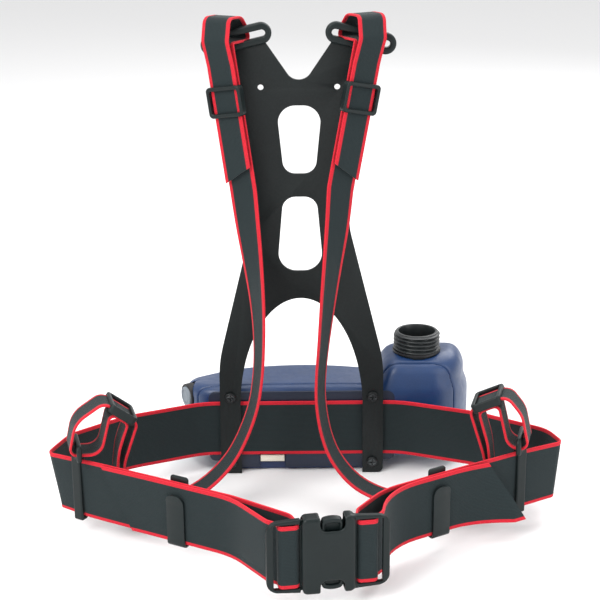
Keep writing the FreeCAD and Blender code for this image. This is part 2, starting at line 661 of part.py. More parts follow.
def belt_carrier():
    """Flat bracket between the belt and the unit, with spacers that reach the plate's legs."""
    points = [(-81, 9.5, 5), (-69.5, 9.5, 1), (-69.5, 3, 3), (69.5, 3, 3), (69.5, 9.5, 1), (81, 9.5, 5),
              (81, 74, 6), (-81, 74, 6)]
    sheet = upright(slab(points, -UNIT_FRONT + 0.2, -5.9))
    for side in (-1, 1):
        for z in SCREW_Z:
            low, high = V(side * SCREW_X, PLATE_T, z), V(side * SCREW_X, 6.5, z)
            sheet = sheet.fuse(rod(4.4, low, high))
            sheet = sheet.cut(rod(2.2, V(side * SCREW_X, 0, z), V(side * SCREW_X, 12, z)))
    return sheet.cut(box(LATCH_X - 11.4, LATCH_X + 11.4, 0, 12, 0, 15.4)).removeSplitter()


def hose_neck():
    """Round thread on the air outlet, open right through."""
    neck = rod(NECK_R, V(NECK_X, NECK_Y, 91), V(NECK_X, NECK_Y, NECK_TOP))
    neck = neck.fuse(rod(19.3, V(NECK_X, NECK_Y, 93.2), V(NECK_X, NECK_Y, 96.0)))
    for i in range(4):
        z = NECK_TOP - 2.6 - i * THREAD_PITCH
        neck = neck.fuse(Part.makeTorus(NECK_R + 0.3, THREAD_R - NECK_R - 0.3, V(NECK_X, NECK_Y, z)))
    bore = rod(NECK_BORE, V(NECK_X, NECK_Y, 80), V(NECK_X, NECK_Y, 150))
    return neck.cut(bore).removeSplitter()


def ring_y(outer, inner, x, z, y0, y1):
    return tube(outer, inner, V(x, y0, z), V(x, y1, z))


def filter_port(x):
    """Threaded socket for a filter, with an inner lip for its gasket."""
    seat = UNIT_REAR - PORT_DEEP
    port = ring_y(25, PORT_R, x, PORT_Z, UNIT_REAR, UNIT_REAR + 5)
    port = port.makeFillet(1.2, [e for e in port.Edges if e.BoundBox.YMin > UNIT_REAR + 4.9])
    port = port.fuse(ring_y(21.9, PORT_R, x, PORT_Z, seat, UNIT_REAR + 1))
    port = port.fuse(ring_y(21.9, PORT_R - 0.3, x, PORT_Z, seat - 2, seat))
    return port.fuse(ring_y(21.9, 15, x, PORT_Z, seat - 4, seat - 2)).removeSplitter()


def filter_gasket(x):
    seat = UNIT_REAR - PORT_DEEP
    return ring_y(PORT_R - 0.4, 15.5, x, PORT_Z, seat - 2, seat)


def blower_volute():
    body = rod(26, V(FAN_X, 20, FAN_Z), V(FAN_X, FAN_BACK, FAN_Z))
    body = body.fuse(rod(12, V(FAN_X, NECK_Y, FAN_Z + 20), V(FAN_X, NECK_Y, 90.6)))
    inside = rod(24.4, V(FAN_X, 21.6, FAN_Z), V(FAN_X, FAN_BACK - 1.6, FAN_Z))
    duct = rod(10.6, V(FAN_X, NECK_Y, FAN_Z + 10), V(FAN_X, NECK_Y, 100))
    eye = rod(12, V(FAN_X, 15, FAN_Z), V(FAN_X, 30, FAN_Z))
    bearing_hole = rod(4, V(FAN_X, FAN_BACK - 6, FAN_Z), V(FAN_X, FAN_BACK + 4, FAN_Z))
    return body.cut(inside).cut(duct).cut(eye).cut(bearing_hole)


def impeller():
    back = FAN_BACK - 5
    wheel = rod(21, V(FAN_X, back - 2, FAN_Z), V(FAN_X, back, FAN_Z))
    wheel = wheel.fuse(rod(5, V(FAN_X, 26, FAN_Z), V(FAN_X, back, FAN_Z)))
    blade = box(FAN_X + 9, FAN_X + 21, 24, back - 1, FAN_Z - 0.6, FAN_Z + 0.6)
    blade = blade.rotate(V(FAN_X + 9, 0, FAN_Z), V(0, 1, 0), 35)
    blade = blade.common(rod(21, V(FAN_X, 20, FAN_Z), V(FAN_X, back, FAN_Z)))
    for i in range(12):
        turned = blade.copy()
        turned.rotate(V(FAN_X, 0, FAN_Z), V(0, 1, 0), i * 30)
        wheel = wheel.fuse(turned)
    return wheel.cut(rod(1.5, V(FAN_X, 20, FAN_Z), V(FAN_X, FAN_BACK, FAN_Z))).removeSplitter()


def motor():
    can = rod(14, V(FAN_X, FAN_BACK + 0.4, FAN_Z), V(FAN_X, UNIT_REAR - 4, FAN_Z))
    can = can.makeFillet(1.5, can.Edges)
    return can.cut(rod(1.56, V(FAN_X, FAN_BACK, FAN_Z), V(FAN_X, UNIT_REAR - 7, FAN_Z)))


def controller_board():
    board = box(-75, -15, 20, 21.6, 42, 73)
    for x, z, w, h, t in ((-60, 56, 14, 14, 2), (-38, 60, 8, 6, 1.6), (-26, 50, 6, 10, 6),
                          (-68, 46, 8, 5, 4)):
        board = board.fuse(box(x - w / 2, x + w / 2, 21.6, 21.6 + t, z - h / 2, z + h / 2))
    return board


def battery_pack():
    """Slides down out of its bay: a base that closes the underside and a block that goes inside."""
    base = box(-BATTERY_X, BATTERY_X, UNIT_FRONT + 0.3, UNIT_REAR - 2, 0, 16)
    base = base.makeFillet(2.0, [e for e in base.Edges if e.BoundBox.ZMax < 0.5])
    pack = base.fuse(box(-60, 60, 18.6, 51.4, 15, 34))
    seat = box(LATCH_X - 11, LATCH_X + 11, 0, UNIT_FRONT + 4.3, 7.9, 15.1)
    return pack.cut(seat).cut(rod(2.2, V(LATCH_X, 8, 11.5), V(LATCH_X, 20, 11.5)))


def battery_latch():
    """Cream push latch on the front of the battery."""
    face = box(LATCH_X - 10.6, LATCH_X + 10.6, 5.6, UNIT_FRONT + 2.0, 8.3, 14.7)
    face = face.makeFillet(1.1, [e for e in face.Edges if e.BoundBox.YMax < 10.1])
    return face.fuse(rod(1.8, V(LATCH_X, 9, 11.5), V(LATCH_X, 17.6, 11.5)))


def battery_contacts():
    """Pins that reach through the bay's ceiling to the top of the battery."""
    pins = []
    for x in CONTACT_X:
        pins.append(rod(1.2, V(x, 40, 34.3), V(x, 40, 41)).fuse(rod(2.4, V(x, 40, 37), V(x, 40, 39))))
    return Part.makeCompound(pins)


def cap_ring(outer, inner, low, high):
    return tube(outer, inner, CAP_AT + CAP_OUT * low, CAP_AT + CAP_OUT * high)


def power_button():
    button = rod(8.9, CAP_AT - CAP_OUT * 1.5, CAP_AT + CAP_OUT * 5.0)
    top = [e for e in button.Edges if abs((e.CenterOfMass - CAP_AT).dot(CAP_OUT) - 5.0) < 0.05]
    return button.makeFillet(1.4, top)


# ---------------------------------------------------------------- saving

def save(name, shape):
    moved = shape.copy()
    moved.translate(ORIGIN)
    moved.exportStep("parts/%s.step" % name)


def main():
    os.makedirs("parts", exist_ok=True)
    nodes = {
        "back_plate": back_plate(),
        "slot_ring_left": slot_ring(-1),
        "slot_ring_right": slot_ring(1),
        "plate_screws": plate_screws(),
        "shoulder_strap_left": shoulder_strap(LEFT, STRAP_X, STRAP_ROLL, LEFT_RUN),
        "shoulder_strap_right": mirrored(shoulder_strap(RIGHT, RIGHT_STRAP_X, RIGHT_ROLL, RIGHT_RUN)),
        "strap_adjuster_left": place(strap_adjuster(), strap_frame(STRAP_X, STRAP_ROLL)),
        "strap_adjuster_right": mirrored(place(strap_adjuster(), strap_frame(RIGHT_STRAP_X, RIGHT_ROLL))),
        "side_adjuster_left": side_adjuster(LEFT),
        "side_adjuster_right": mirrored(side_adjuster(RIGHT)),
        "strap_hanger_left": strap_hanger(LEFT),
        "strap_hanger_right": mirrored(strap_hanger(RIGHT)),
        "buckle_female": buckle_female(),
        "buckle_male": buckle_male(),
        "buckle_prong_upper": buckle_prong(1),
        "buckle_prong_lower": buckle_prong(-1),
        "belt_keeper_left": belt_keeper(V(-95, -158.2, 0), V(0.871, -0.492, 0)),
        "belt_keeper_right": belt_keeper(V(105, -146.1, 0), V(0.854, 0.521, 0)),
        "belt_carrier": belt_carrier(),
        "hose_neck": hose_neck(),
        "neck_seal": tube(21, NECK_R + 0.02, V(NECK_X, NECK_Y, 100.1), V(NECK_X, NECK_Y, 101.9)),
        "filter_port_left": filter_port(PORT_X[0]),
        "filter_port_right": filter_port(PORT_X[1]),
        "filter_gasket_left": filter_gasket(PORT_X[0]),
        "filter_gasket_right": filter_gasket(PORT_X[1]),
        "blower_volute": blower_volute(),
        "impeller": impeller(),
        "motor_shaft": rod(1.5, V(FAN_X, 25, FAN_Z), V(FAN_X, UNIT_REAR - 7.5, FAN_Z)),
        "shaft_bearing": ring_y(4, 1.56, FAN_X, FAN_Z, FAN_BACK - 1.6, FAN_BACK),
        "motor": motor(),
        "controller_board": controller_board(),
        "battery_pack": battery_pack(),
        "battery_latch": battery_latch(),
        "battery_contacts": battery_contacts(),
        "power_button": power_button(),
        "button_bezel": cap_ring(11.2, 9.2, -3.5, 3.0),
        "case_screws": case_screws(),
    }
    nodes.update(belt())
    nodes.update(casings())
    for name, shape in nodes.items():
        save(name, shape)


main()
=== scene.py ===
import json
import math
import bmesh
import bpy
import numpy as np
from mathutils import Matrix, Vector

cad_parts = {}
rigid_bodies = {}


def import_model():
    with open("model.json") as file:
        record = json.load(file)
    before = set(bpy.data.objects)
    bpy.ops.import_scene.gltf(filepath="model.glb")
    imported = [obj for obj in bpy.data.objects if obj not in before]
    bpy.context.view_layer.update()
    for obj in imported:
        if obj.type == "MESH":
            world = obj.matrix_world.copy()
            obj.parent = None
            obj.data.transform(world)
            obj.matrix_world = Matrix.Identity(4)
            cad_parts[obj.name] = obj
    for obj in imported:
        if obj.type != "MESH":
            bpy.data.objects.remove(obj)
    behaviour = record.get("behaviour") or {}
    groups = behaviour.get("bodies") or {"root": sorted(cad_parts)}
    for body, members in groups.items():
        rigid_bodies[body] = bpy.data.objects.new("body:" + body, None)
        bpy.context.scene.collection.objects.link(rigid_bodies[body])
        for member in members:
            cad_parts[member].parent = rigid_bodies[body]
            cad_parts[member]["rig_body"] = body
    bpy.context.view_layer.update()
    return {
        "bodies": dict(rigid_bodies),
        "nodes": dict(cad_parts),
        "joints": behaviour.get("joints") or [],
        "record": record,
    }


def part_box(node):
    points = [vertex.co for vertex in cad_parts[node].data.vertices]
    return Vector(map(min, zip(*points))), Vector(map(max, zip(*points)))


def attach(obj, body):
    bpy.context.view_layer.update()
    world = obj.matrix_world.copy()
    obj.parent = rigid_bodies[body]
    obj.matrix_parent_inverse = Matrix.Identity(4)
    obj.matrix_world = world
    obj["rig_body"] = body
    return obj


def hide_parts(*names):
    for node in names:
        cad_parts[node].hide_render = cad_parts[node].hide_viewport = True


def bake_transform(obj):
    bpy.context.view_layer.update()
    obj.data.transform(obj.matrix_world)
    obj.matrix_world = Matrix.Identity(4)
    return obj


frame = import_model()

# Looks of a belt-worn air unit on a harness. Every length is in millimetres from the back plate: X to the
# right, Y away from the wearer, Z up, with zero at the middle of the plate's front face and under its legs.
# PLACE takes such a point to the frame's metres.
MM = 0.001
plate_low, plate_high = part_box("back_plate")
PLACE = Matrix.Translation(((plate_low.x + plate_high.x) / 2, plate_low.y, plate_low.z))
PLACE = PLACE @ Matrix.Scale(MM, 4)
SLOTS = {part["node"]: part["material_slot"] for part in frame["record"]["subparts"]}

MIRROR = Matrix.Scale(-1, 4, (1, 0, 0))

WEB_T = 1.8  # webbing: thickness, then the width of its red edges
EDGE_W = 3.1
BELT_W = 50.0
BELT_LOW = 16.0
BELT_MID = BELT_LOW + BELT_W / 2
STRAP_W = 25.0

CAMERA_LENS = 87.24
CAMERA_AT = (-0.6, -1170.4, 540.0)
CAMERA_DOWN = 18.0
CAMERA_ROLL = -0.5
WORLD_LIGHT = 0.8
FLOOR_SIZE = 14.0
FLOOR_DROP = 0.0004


# ---- camera, light and floor

def add_camera():
    data = bpy.data.cameras.new("camera")
    data.lens = CAMERA_LENS
    data.sensor_width = 36.0
    data.clip_end = 50.0
    camera = bpy.data.objects.new("camera", data)
    bpy.context.scene.collection.objects.link(camera)
    look_down = Matrix.Rotation(math.radians(90 - CAMERA_DOWN), 4, "X")
    roll = Matrix.Rotation(math.radians(CAMERA_ROLL), 4, "Z")
    stand = Matrix.Translation(PLACE @ Vector(CAMERA_AT))
    camera.matrix_world = stand @ look_down @ roll
    bpy.context.scene.camera = camera


def add_light(name, place, target, size, power, colour=(1, 1, 1)):
    data = bpy.data.lights.new(name, "AREA")
    data.shape = "RECTANGLE"
    data.size, data.size_y = size
    data.energy = power
    data.color = colour
    light = bpy.data.objects.new(name, data)
    light.location = place
    light.rotation_euler = (Vector(target) - Vector(place)).to_track_quat("-Z", "Y").to_euler()
    bpy.context.scene.collection.objects.link(light)


def add_lights():
    add_light("key", (-1.2, -1.3, 1.5), (0, 0, 0.12), (1.2, 1.2), 34, (1, 0.99, 0.97))
    add_light("fill", (1.5, -1.1, 0.8), (0, 0, 0.12), (1.2, 1.6), 11)
    add_light("top", (0.0, 0.2, 2.0), (0, 0, 0.1), (1.8, 1.4), 20)
    add_light("back_rim", (0.9, 1.5, 1.3), (0, 0, 0.15), (1.2, 1.0), 14)
    world = bpy.data.worlds.new("studio")
    world.use_nodes = True
    background = world.node_tree.nodes["Background"]
    background.inputs["Color"].default_value = (1.0, 1.0, 1.0, 1.0)
    background.inputs["Strength"].default_value = WORLD_LIGHT
    bpy.context.scene.world = world
    bpy.context.scene.view_settings.view_transform = "Standard"


def add_floor():
    bpy.ops.mesh.primitive_plane_add(size=FLOOR_SIZE, location=(0, 0, -FLOOR_DROP))
    floor = bpy.context.object
    floor.name = "studio_floor"
    material = bpy.data.materials.new("floor_paint")
    material.use_nodes = True
    shader = material.node_tree.nodes["Principled BSDF"]
    shader.inputs["Base Color"].default_value = (0.93, 0.93, 0.935, 1)
    shader.inputs["Roughness"].default_value = 0.7
    floor.data.materials.append(material)


# ---- materials

WARP_PITCH = 1.15
WEFT_PITCH = 0.95


class Look:
    """A node material under construction: short calls add and link its nodes."""

    def __init__(self, name, roughness, **sockets):
        self.material = bpy.data.materials.new(name)
        self.material.use_nodes = True
        self.tree = self.material.node_tree
        self.shader = self.tree.nodes["Principled BSDF"]
        self.shader.inputs["Roughness"].default_value = roughness
        for socket, value in sockets.items():
            self.shader.inputs[socket.replace("_", " ")].default_value = value

    def node(self, kind, links=None, **values):
        made = self.tree.nodes.new("ShaderNode" + kind)
        for key, value in values.items():
            if hasattr(made, key):
                setattr(made, key, value)
            else:
                made.inputs[key.replace("_", " ")].default_value = value
        for socket, source in (links or {}).items():
            self.tree.links.new(source, made.inputs[socket])
        return made

    def object_place(self, scale=(1, 1, 1)):
        coords = self.node("TexCoord").outputs["Object"]
        return self.node("Mapping", {"Vector": coords}, Scale=scale).outputs["Vector"]

    def noise(self, scale, detail=3.0, roughness=0.55, vector=None):
        vector = vector or self.object_place()
        made = self.node("TexNoise", {"Vector": vector}, Scale=scale, Detail=detail, Roughness=roughness)
        return made.outputs["Fac"]

    def ramp(self, source, stops):
        made = self.node("ValToRGB", {"Fac": source})
        ramp = made.color_ramp
        while len(ramp.elements) < len(stops):
            ramp.elements.new(0.5)
        for element, (place, colour) in zip(ramp.elements, stops):
            element.position = place
            element.color = (*colour, 1)
        return made.outputs["Color"]

    def math(self, operation, a, b=0.0, c=None):
        made = self.node("Math", operation=operation)
        for i, value in enumerate((a, b) if c is None else (a, b, c)):
            if isinstance(value, (int, float)):
                made.inputs[i].default_value = value
            else:
                self.tree.links.new(value, made.inputs[i])
        return made.outputs[0]

    def span(self, source, low, high, to_low=0.0, to_high=1.0):
        made = self.node("MapRange", {"Value": source}, From_Min=low, From_Max=high, To_Min=to_low,
                         To_Max=to_high)
        return made.outputs["Result"]

    def mix(self, factor, a, b):
        made = self.node("Mix", data_type="RGBA")
        self.tree.links.new(factor, made.inputs[0])
        for socket, value in ((6, a), (7, b)):
            if isinstance(value, tuple):
                made.inputs[socket].default_value = (*value, 1)
            else:
                self.tree.links.new(value, made.inputs[socket])
        return made.outputs[2]

    def edges(self, low=0.52, high=0.60):
        """About 1 along outer edges, 0 elsewhere."""
        point = self.node("NewGeometry").outputs["Pointiness"]
        return self.span(point, low, high)

    def colour(self, source):
        self.tree.links.new(source, self.shader.inputs["Base Color"])

    def roughness(self, source):
        self.tree.links.new(source, self.shader.inputs["Roughness"])

    def bump(self, height, distance, strength=1.0):
        made = self.node("Bump", {"Height": height}, Strength=strength, Distance=distance * MM)
        self.tree.links.new(made.outputs["Normal"], self.shader.inputs["Normal"])


def scaled(colour, factor):
    return tuple(min(1.0, c * factor) for c in colour)


def moulded(name, colour, roughness, grain=1500.0, depth=0.03, edge_wear_and_highlight=1.5, **sockets):
    """Moulded plastic: spark-eroded grain, slight mottling, and paler, smoother edges; the paler edge
    colour is partly wear and partly a painted highlight.
    """
    look = Look(name, roughness, **sockets)
    mottle = look.noise(45.0, 4.0)
    fine = look.noise(grain, 2.0, 0.6)
    base = look.ramp(mottle, [(0.3, scaled(colour, 0.86)), (0.7, scaled(colour, 1.14))])
    speck = look.mix(look.span(fine, 0.35, 0.75), base, scaled(colour, 1.25))
    # Paler colour along the edges: partly rubbed wear, partly a painted highlight.
    look.colour(look.mix(look.math("MULTIPLY", look.edges(), 0.6), speck, scaled(colour, edge_wear_and_highlight)))
    worn = look.span(look.noise(160.0, 5.0), 0.3, 0.75, roughness - 0.07, roughness + 0.09)
    look.roughness(look.math("SUBTRACT", worn, look.math("MULTIPLY", look.edges(), 0.08)))
    look.bump(fine, depth)
    return look.material


def powder_coat(name, colour):
    """Fine-textured powder coat on sheet metal."""
    look = Look(name, 0.55, Specular_IOR_Level=0.28)
    orange_peel = look.noise(2100.0, 3.0, 0.65)
    lumps = look.noise(520.0, 2.0)
    base = look.ramp(look.noise(20.0, 5.0), [(0.3, scaled(colour, 0.85)), (0.72, scaled(colour, 1.18))])
    look.colour(look.mix(look.span(orange_peel, 0.52, 0.72), base, scaled(colour, 1.9)))
    look.roughness(look.span(lumps, 0.3, 0.7, 0.46, 0.62))
    look.bump(look.math("ADD", orange_peel, look.math("MULTIPLY", lumps, 0.5)), 0.09)
    return look.material


def metal(name, colour, roughness, direction=(1, 1, 1)):
    """Machined metal with fine turning marks."""
    look = Look(name, roughness, Metallic=1.0)
    marks = look.noise(900.0, 3.0, 0.6, look.object_place(direction))
    look.colour(look.ramp(marks, [(0.3, scaled(colour, 0.8)), (0.7, scaled(colour, 1.08))]))
    look.roughness(look.span(marks, 0.3, 0.7, roughness - 0.08, roughness + 0.12))
    look.bump(marks, 0.01)
    return look.material


def board(name):
    """Green circuit board with copper tracks."""
    look = Look(name, 0.4, Coat_Weight=0.3)
    tracks = look.node("TexBrick", {"Vector": look.object_place()}, Scale=180.0)
    tracks.inputs["Color1"].default_value = (0.012, 0.11, 0.04, 1)
    tracks.inputs["Color2"].default_value = (0.02, 0.17, 0.06, 1)
    tracks.inputs["Mortar"].default_value = (0.25, 0.3, 0.1, 1)
    look.colour(tracks.outputs["Color"])
    look.bump(tracks.outputs["Fac"], 0.05)
    look.roughness(look.span(look.noise(300.0), 0.3, 0.7, 0.33, 0.5))
    return look.material


def webbing(name, width):
    """Woven strap: U runs along it and V across it, both in millimetres. Both edges are red."""
    look = Look(name, 0.78, Sheen_Weight=0.1, Sheen_Roughness=0.4, Specular_IOR_Level=0.22)
    strip = look.node("UVMap", uv_map="strip").outputs["UV"]
    uv = look.node("SeparateXYZ", {"Vector": strip})
    along, across = uv.outputs["X"], uv.outputs["Y"]
    column = look.math("MULTIPLY", across, 1 / WARP_PITCH)
    row = look.math("MULTIPLY", along, 1 / WEFT_PITCH)
    which = look.math("FLOOR", column)
    shifted = look.math("ADD", row, look.math("MULTIPLY", which, 0.5))
    yarn = look.math("SINE", look.math("MULTIPLY", look.math("FRACT", shifted), math.pi))
    rib = look.math("SINE", look.math("MULTIPLY", look.math("FRACT", column), math.pi))
    weave = look.math("MULTIPLY", look.math("POWER", yarn, 0.6), look.math("POWER", rib, 0.7))
    strands = look.node("Mapping", {"Vector": strip}, Scale=(0.5, 6.0, 1.0)).outputs["Vector"]
    fuzz = look.noise(1.6, 4.0, 0.6, strands)
    dark = look.ramp(fuzz, [(0.3, (0.011, 0.019, 0.021)), (0.7, (0.027, 0.042, 0.046))])
    red = look.ramp(fuzz, [(0.3, (0.66, 0.012, 0.028)), (0.7, (0.90, 0.030, 0.055))])
    from_edge = look.math("SUBTRACT", width / 2, look.math("ABSOLUTE", across))
    ragged = look.math("ADD", from_edge, look.math("MULTIPLY", weave, 0.25))
    at_edge = look.span(ragged, EDGE_W - 0.15, EDGE_W + 0.25, 1.0, 0.0)
    body = look.mix(at_edge, dark, red)
    # The weave's hollows are darkened down to 0.42 of the colour: painted shade between the yarns.
    shade = look.span(weave, 0.0, 1.0, 0.42, 1.0)
    weave_painted_shade = look.node("CombineColor", {"Red": shade, "Green": shade, "Blue": shade}).outputs["Color"]
    product = look.node("Mix", data_type="RGBA", blend_type="MULTIPLY")
    product.inputs[0].default_value = 1.0
    look.tree.links.new(body, product.inputs[6])
    look.tree.links.new(weave_painted_shade, product.inputs[7])
    look.colour(product.outputs[2])
    look.roughness(look.span(fuzz, 0.3, 0.7, 0.68, 0.9))
    look.bump(look.math("ADD", weave, look.math("MULTIPLY", fuzz, 0.4)), 0.16)
    return look.material


def make_looks():
    acetal = (0.006, 0.0105, 0.011)
    navy = (0.008, 0.033, 0.108)
    return {
        "plate": powder_coat("plate_powder_coat", (0.006, 0.0088, 0.0092)),
        "black_plastic": moulded("black_acetal", acetal, 0.40, 1700.0, 0.035, 2.2, Specular_IOR_Level=0.26),
        "webbing": webbing("belt_webbing", BELT_W),
        "casing": moulded("navy_casing", navy, 0.40, 1300.0, 0.03, 1.25, Coat_Weight=0.12,
                          Coat_Roughness=0.3),
        "carrier": moulded("carrier_plastic", (0.006, 0.012, 0.030), 0.45, 1300.0, 0.03),
        # Screws: the strong edge paling (6.0) paints the highlights on the head rims and the cross
        # recesses.
        "screw": moulded("black_oxide", (0.016, 0.018, 0.019), 0.30, 900.0, 0.01, 6.0, Metallic=0.6),
        "neck": moulded("neck_nylon", (0.012, 0.015, 0.016), 0.36, 1900.0, 0.02, 2.2),
        "seal": moulded("seal_rubber", (0.010, 0.010, 0.011), 0.62, 2500.0, 0.02, 1.6),
        "cap": moulded("grey_cap", (0.17, 0.20, 0.23), 0.5, 1700.0, 0.03, 1.4),
        "latch": moulded("cream_latch", (0.71, 0.68, 0.58), 0.42, 1500.0, 0.02, 1.05),
        "inner_plastic": moulded("natural_nylon", (0.58, 0.57, 0.52), 0.5, 1400.0, 0.03, 1.1),
        "steel": metal("ground_steel", (0.56, 0.57, 0.58), 0.3, (1, 0.06, 1)),
        "motor_can": metal("drawn_can", (0.62, 0.62, 0.63), 0.34, (1, 0.1, 1)),
        "board": board("circuit_board"),
        "battery": moulded("battery_case", (0.009, 0.022, 0.078), 0.44, 1300.0, 0.03),
        "contact": metal("contact_brass", (0.78, 0.57, 0.25), 0.28),
        # Pale grey on the cut ends: a painted highlight along the cut, not the yarn's colour.
        "cut_end": moulded("cut_end_painted_highlight", (0.46, 0.47, 0.46), 0.5, 900.0, 0.05, 1.1),
    }


# ---- meshes

def finish_mesh(name, verts, faces, sharp):
    """Smooth-shaded mesh with outward normals, kept crisp where it turns by more than sharp degrees."""
    mesh = bpy.data.meshes.new(name)
    mesh.from_pydata([tuple(v) for v in verts], [], faces)
    work = bmesh.new()
    work.from_mesh(mesh)
    bmesh.ops.recalc_face_normals(work, faces=work.faces)
    work.to_mesh(mesh)
    work.free()
    mesh.shade_smooth()
    mesh.set_sharp_from_angle(angle=math.radians(sharp))
    return mesh


def add_piece(name, mesh, nodes, look=None, blend=None):
    """Puts a mesh in place of CAD nodes: it takes the material of their slot and, unless blend is given,
    their body; with blend it is left without a body.
    """
    mesh.transform(PLACE)
    if look or SLOTS[nodes[0]] in LOOKS:
        mesh.materials.append(look or LOOKS[SLOTS[nodes[0]]])
    piece = bpy.data.objects.new(name, mesh)
    bpy.context.scene.collection.objects.link(piece)
    if blend:
        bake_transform(piece)
    else:
        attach(piece, frame["nodes"][nodes[0]]["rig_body"])
    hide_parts(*nodes)


def softened(node, radius):
    """A copy of a CAD node with its sharp edges rounded."""
    work = bmesh.new()
    work.from_mesh(frame["nodes"][node].data)
    bmesh.ops.transform(work, matrix=PLACE.inverted(), verts=work.verts)
    bmesh.ops.remove_doubles(work, verts=work.verts, dist=0.004)
    bmesh.ops.dissolve_limit(work, angle_limit=math.radians(1.0), verts=work.verts, edges=work.edges)
    edges = [e for e in work.edges if len(e.link_faces) == 2 and e.calc_face_angle(0) > math.radians(32)]
    bmesh.ops.bevel(work, geom=edges, offset=radius, segments=2, affect="EDGES", profile=0.5,
                    clamp_overlap=True)
    verts = [v.co.copy() for v in work.verts]
    work.verts.index_update()
    faces = [[v.index for v in f.verts] for f in work.faces]
    work.free()
    add_piece(node + "_look", finish_mesh(node, verts, faces, 28.0), [node])


def rounded(points, step=4.0, turn=8.0):
    """Points along a path of (x, y, bend radius) corners."""
    corners = [np.array(p[:2], float) for p in points]
    out = [corners[0]]
    for i in range(1, len(corners) - 1):
        radius = points[i][2]
        into, out_of = corners[i] - corners[i - 1], corners[i + 1] - corners[i]
        before, after = into / np.linalg.norm(into), out_of / np.linalg.norm(out_of)
        angle = math.atan2(before[0] * after[1] - before[1] * after[0], before @ after)
        reach = radius * math.tan(abs(angle) / 2)
        start = corners[i] - before * reach
        left = np.array([-before[1], before[0]]) * math.copysign(1, angle)
        centre = start + left * radius
        add_line(out, start, step)
        count = max(2, math.ceil(abs(math.degrees(angle)) / turn))
        for k in range(1, count + 1):
            a = abs(angle) * k / count
            out.append(centre - left * radius * math.cos(a) + before * radius * math.sin(a))
    add_line(out, corners[-1], step)
    return np.array(out)


def axes_at(origin, x, y, z):
    """Matrix that takes the axes to three directions and zero to the origin."""
    return Matrix.Translation(Vector(origin)) @ Matrix([x, y, z]).transposed().to_4x4()


def add_line(out, end, step):
    """Adds evenly spaced points from the last one on a path to the given end."""
    start = out[-1]
    count = math.ceil(np.linalg.norm(end - start) / step)
    for k in range(1, count + 1):
        out.append(start + (end - start) * k / count)


def through(stations, count=8):
    """Catmull-Rom curve through the stations but the first and last, which only steer it."""
    pts = np.array(stations, float)
    out = []
    for i in range(1, len(pts) - 2):
        a, b, c, d = pts[i - 1:i + 3]
        for k in range(count):
            t = k / count
            out.append(0.5 * (2 * b + (c - a) * t + (2 * a - 5 * b + 4 * c - d) * t ** 2
                              + (3 * b - a - 3 * c + d) * t ** 3))
    out.append(pts[-2])
    return np.array(out)


def unit(vectors):
    vectors = np.asarray(vectors, float)
    return vectors / np.maximum(np.linalg.norm(vectors, axis=-1, keepdims=True), 1e-9)


def lengths(centres):
    """Distance along a path at each of its points."""
    return np.concatenate([[0], np.cumsum(np.linalg.norm(np.diff(centres, axis=0), axis=1))])


def web_profile(width, columns):
    """Closed outline of webbing across its width: the woven edges stand a little proud."""
    r = WEB_T / 2
    inner = width / 2 - EDGE_W
    bend = [math.radians(degrees) for degrees in (90, 65, 35)]
    edge = [(inner + 0.25, r)]
    edge += [(width / 2 - r * (1 - math.cos(a)), r * math.sin(a)) for a in bend]
    edge += [(width / 2, 0.0)]
    middle = [(-inner + 0.2 + (2 * inner - 0.4) * k / columns, r * 0.9) for k in range(columns + 1)]
    top = [(-a, b) for a, b in reversed(edge)] + middle + edge
    return top + [(a, -b) for a, b in reversed(top[1:-1])]


def ribbon(name, centres, acrosses, profile, end=None, slant=(0.0, 0.0), shift=0.0, warp=None, curl=40.0):
    """Sweeps a profile along a path. Slant makes its ends oblique; warp moves it off its plane."""
    s = lengths(centres)
    end = s[-1] if end is None else end
    lead = abs(slant[0]) * max(a for a, _ in profile)
    rows = np.concatenate([[lead], s[(s > lead + 0.4) & (s < end - 0.4)], [end]])
    tangent = unit(np.gradient(centres, s, axis=0))
    stack = np.hstack([centres, acrosses, tangent])
    verts, uvs = [], []
    for a, b in profile:
        at_start = np.clip(1 - (rows - lead) / curl, 0, 1)
        at_end = np.clip(1 - (end - rows) / curl, 0, 1)
        place = rows + slant[0] * a * at_start + slant[1] * a * at_end
        values = np.stack([np.interp(place, s, stack[:, i]) for i in range(9)], axis=1)
        way = unit(values[:, 6:9])
        flat = unit(values[:, 3:6] - way * np.sum(values[:, 3:6] * way, axis=1, keepdims=True))
        normal = unit(np.cross(values[:, 6:9], flat))
        lift = b if warp is None else b + warp(place, a)
        verts.append(values[:, :3] + flat * a + normal * np.reshape(lift, (-1, 1)))
        uvs.append(np.stack([place + shift, np.full(len(rows), a)], axis=1))
    return ribbon_mesh(name, np.array(verts), np.array(uvs))


def ribbon_mesh(name, verts, uvs):
    """Mesh of a swept outline, open-ended rows closed by quads, with its strip coordinates in mm."""
    around, rows = verts.shape[:2]
    flat = verts.reshape(-1, 3)
    faces = []
    for k in range(around):
        j = (k + 1) % around
        faces += [[k * rows + i, j * rows + i, j * rows + i + 1, k * rows + i + 1] for i in range(rows - 1)]
    half = around // 2
    for i in (0, rows - 1):
        for k in range(half):
            corners = (k, k + 1, (around - k - 1) % around, (around - k) % around)
            faces.append(list(dict.fromkeys(corner * rows + i for corner in corners)))
    mesh = finish_mesh(name, flat, faces, 50.0)
    layer = mesh.uv_layers.new(name="strip")
    index = np.zeros(len(mesh.loops), int)
    mesh.loops.foreach_get("vertex_index", index)
    layer.data.foreach_set("uv", uvs.reshape(-1, 2)[index].astype(np.float32).ravel())
    return mesh


# ---- waist belt

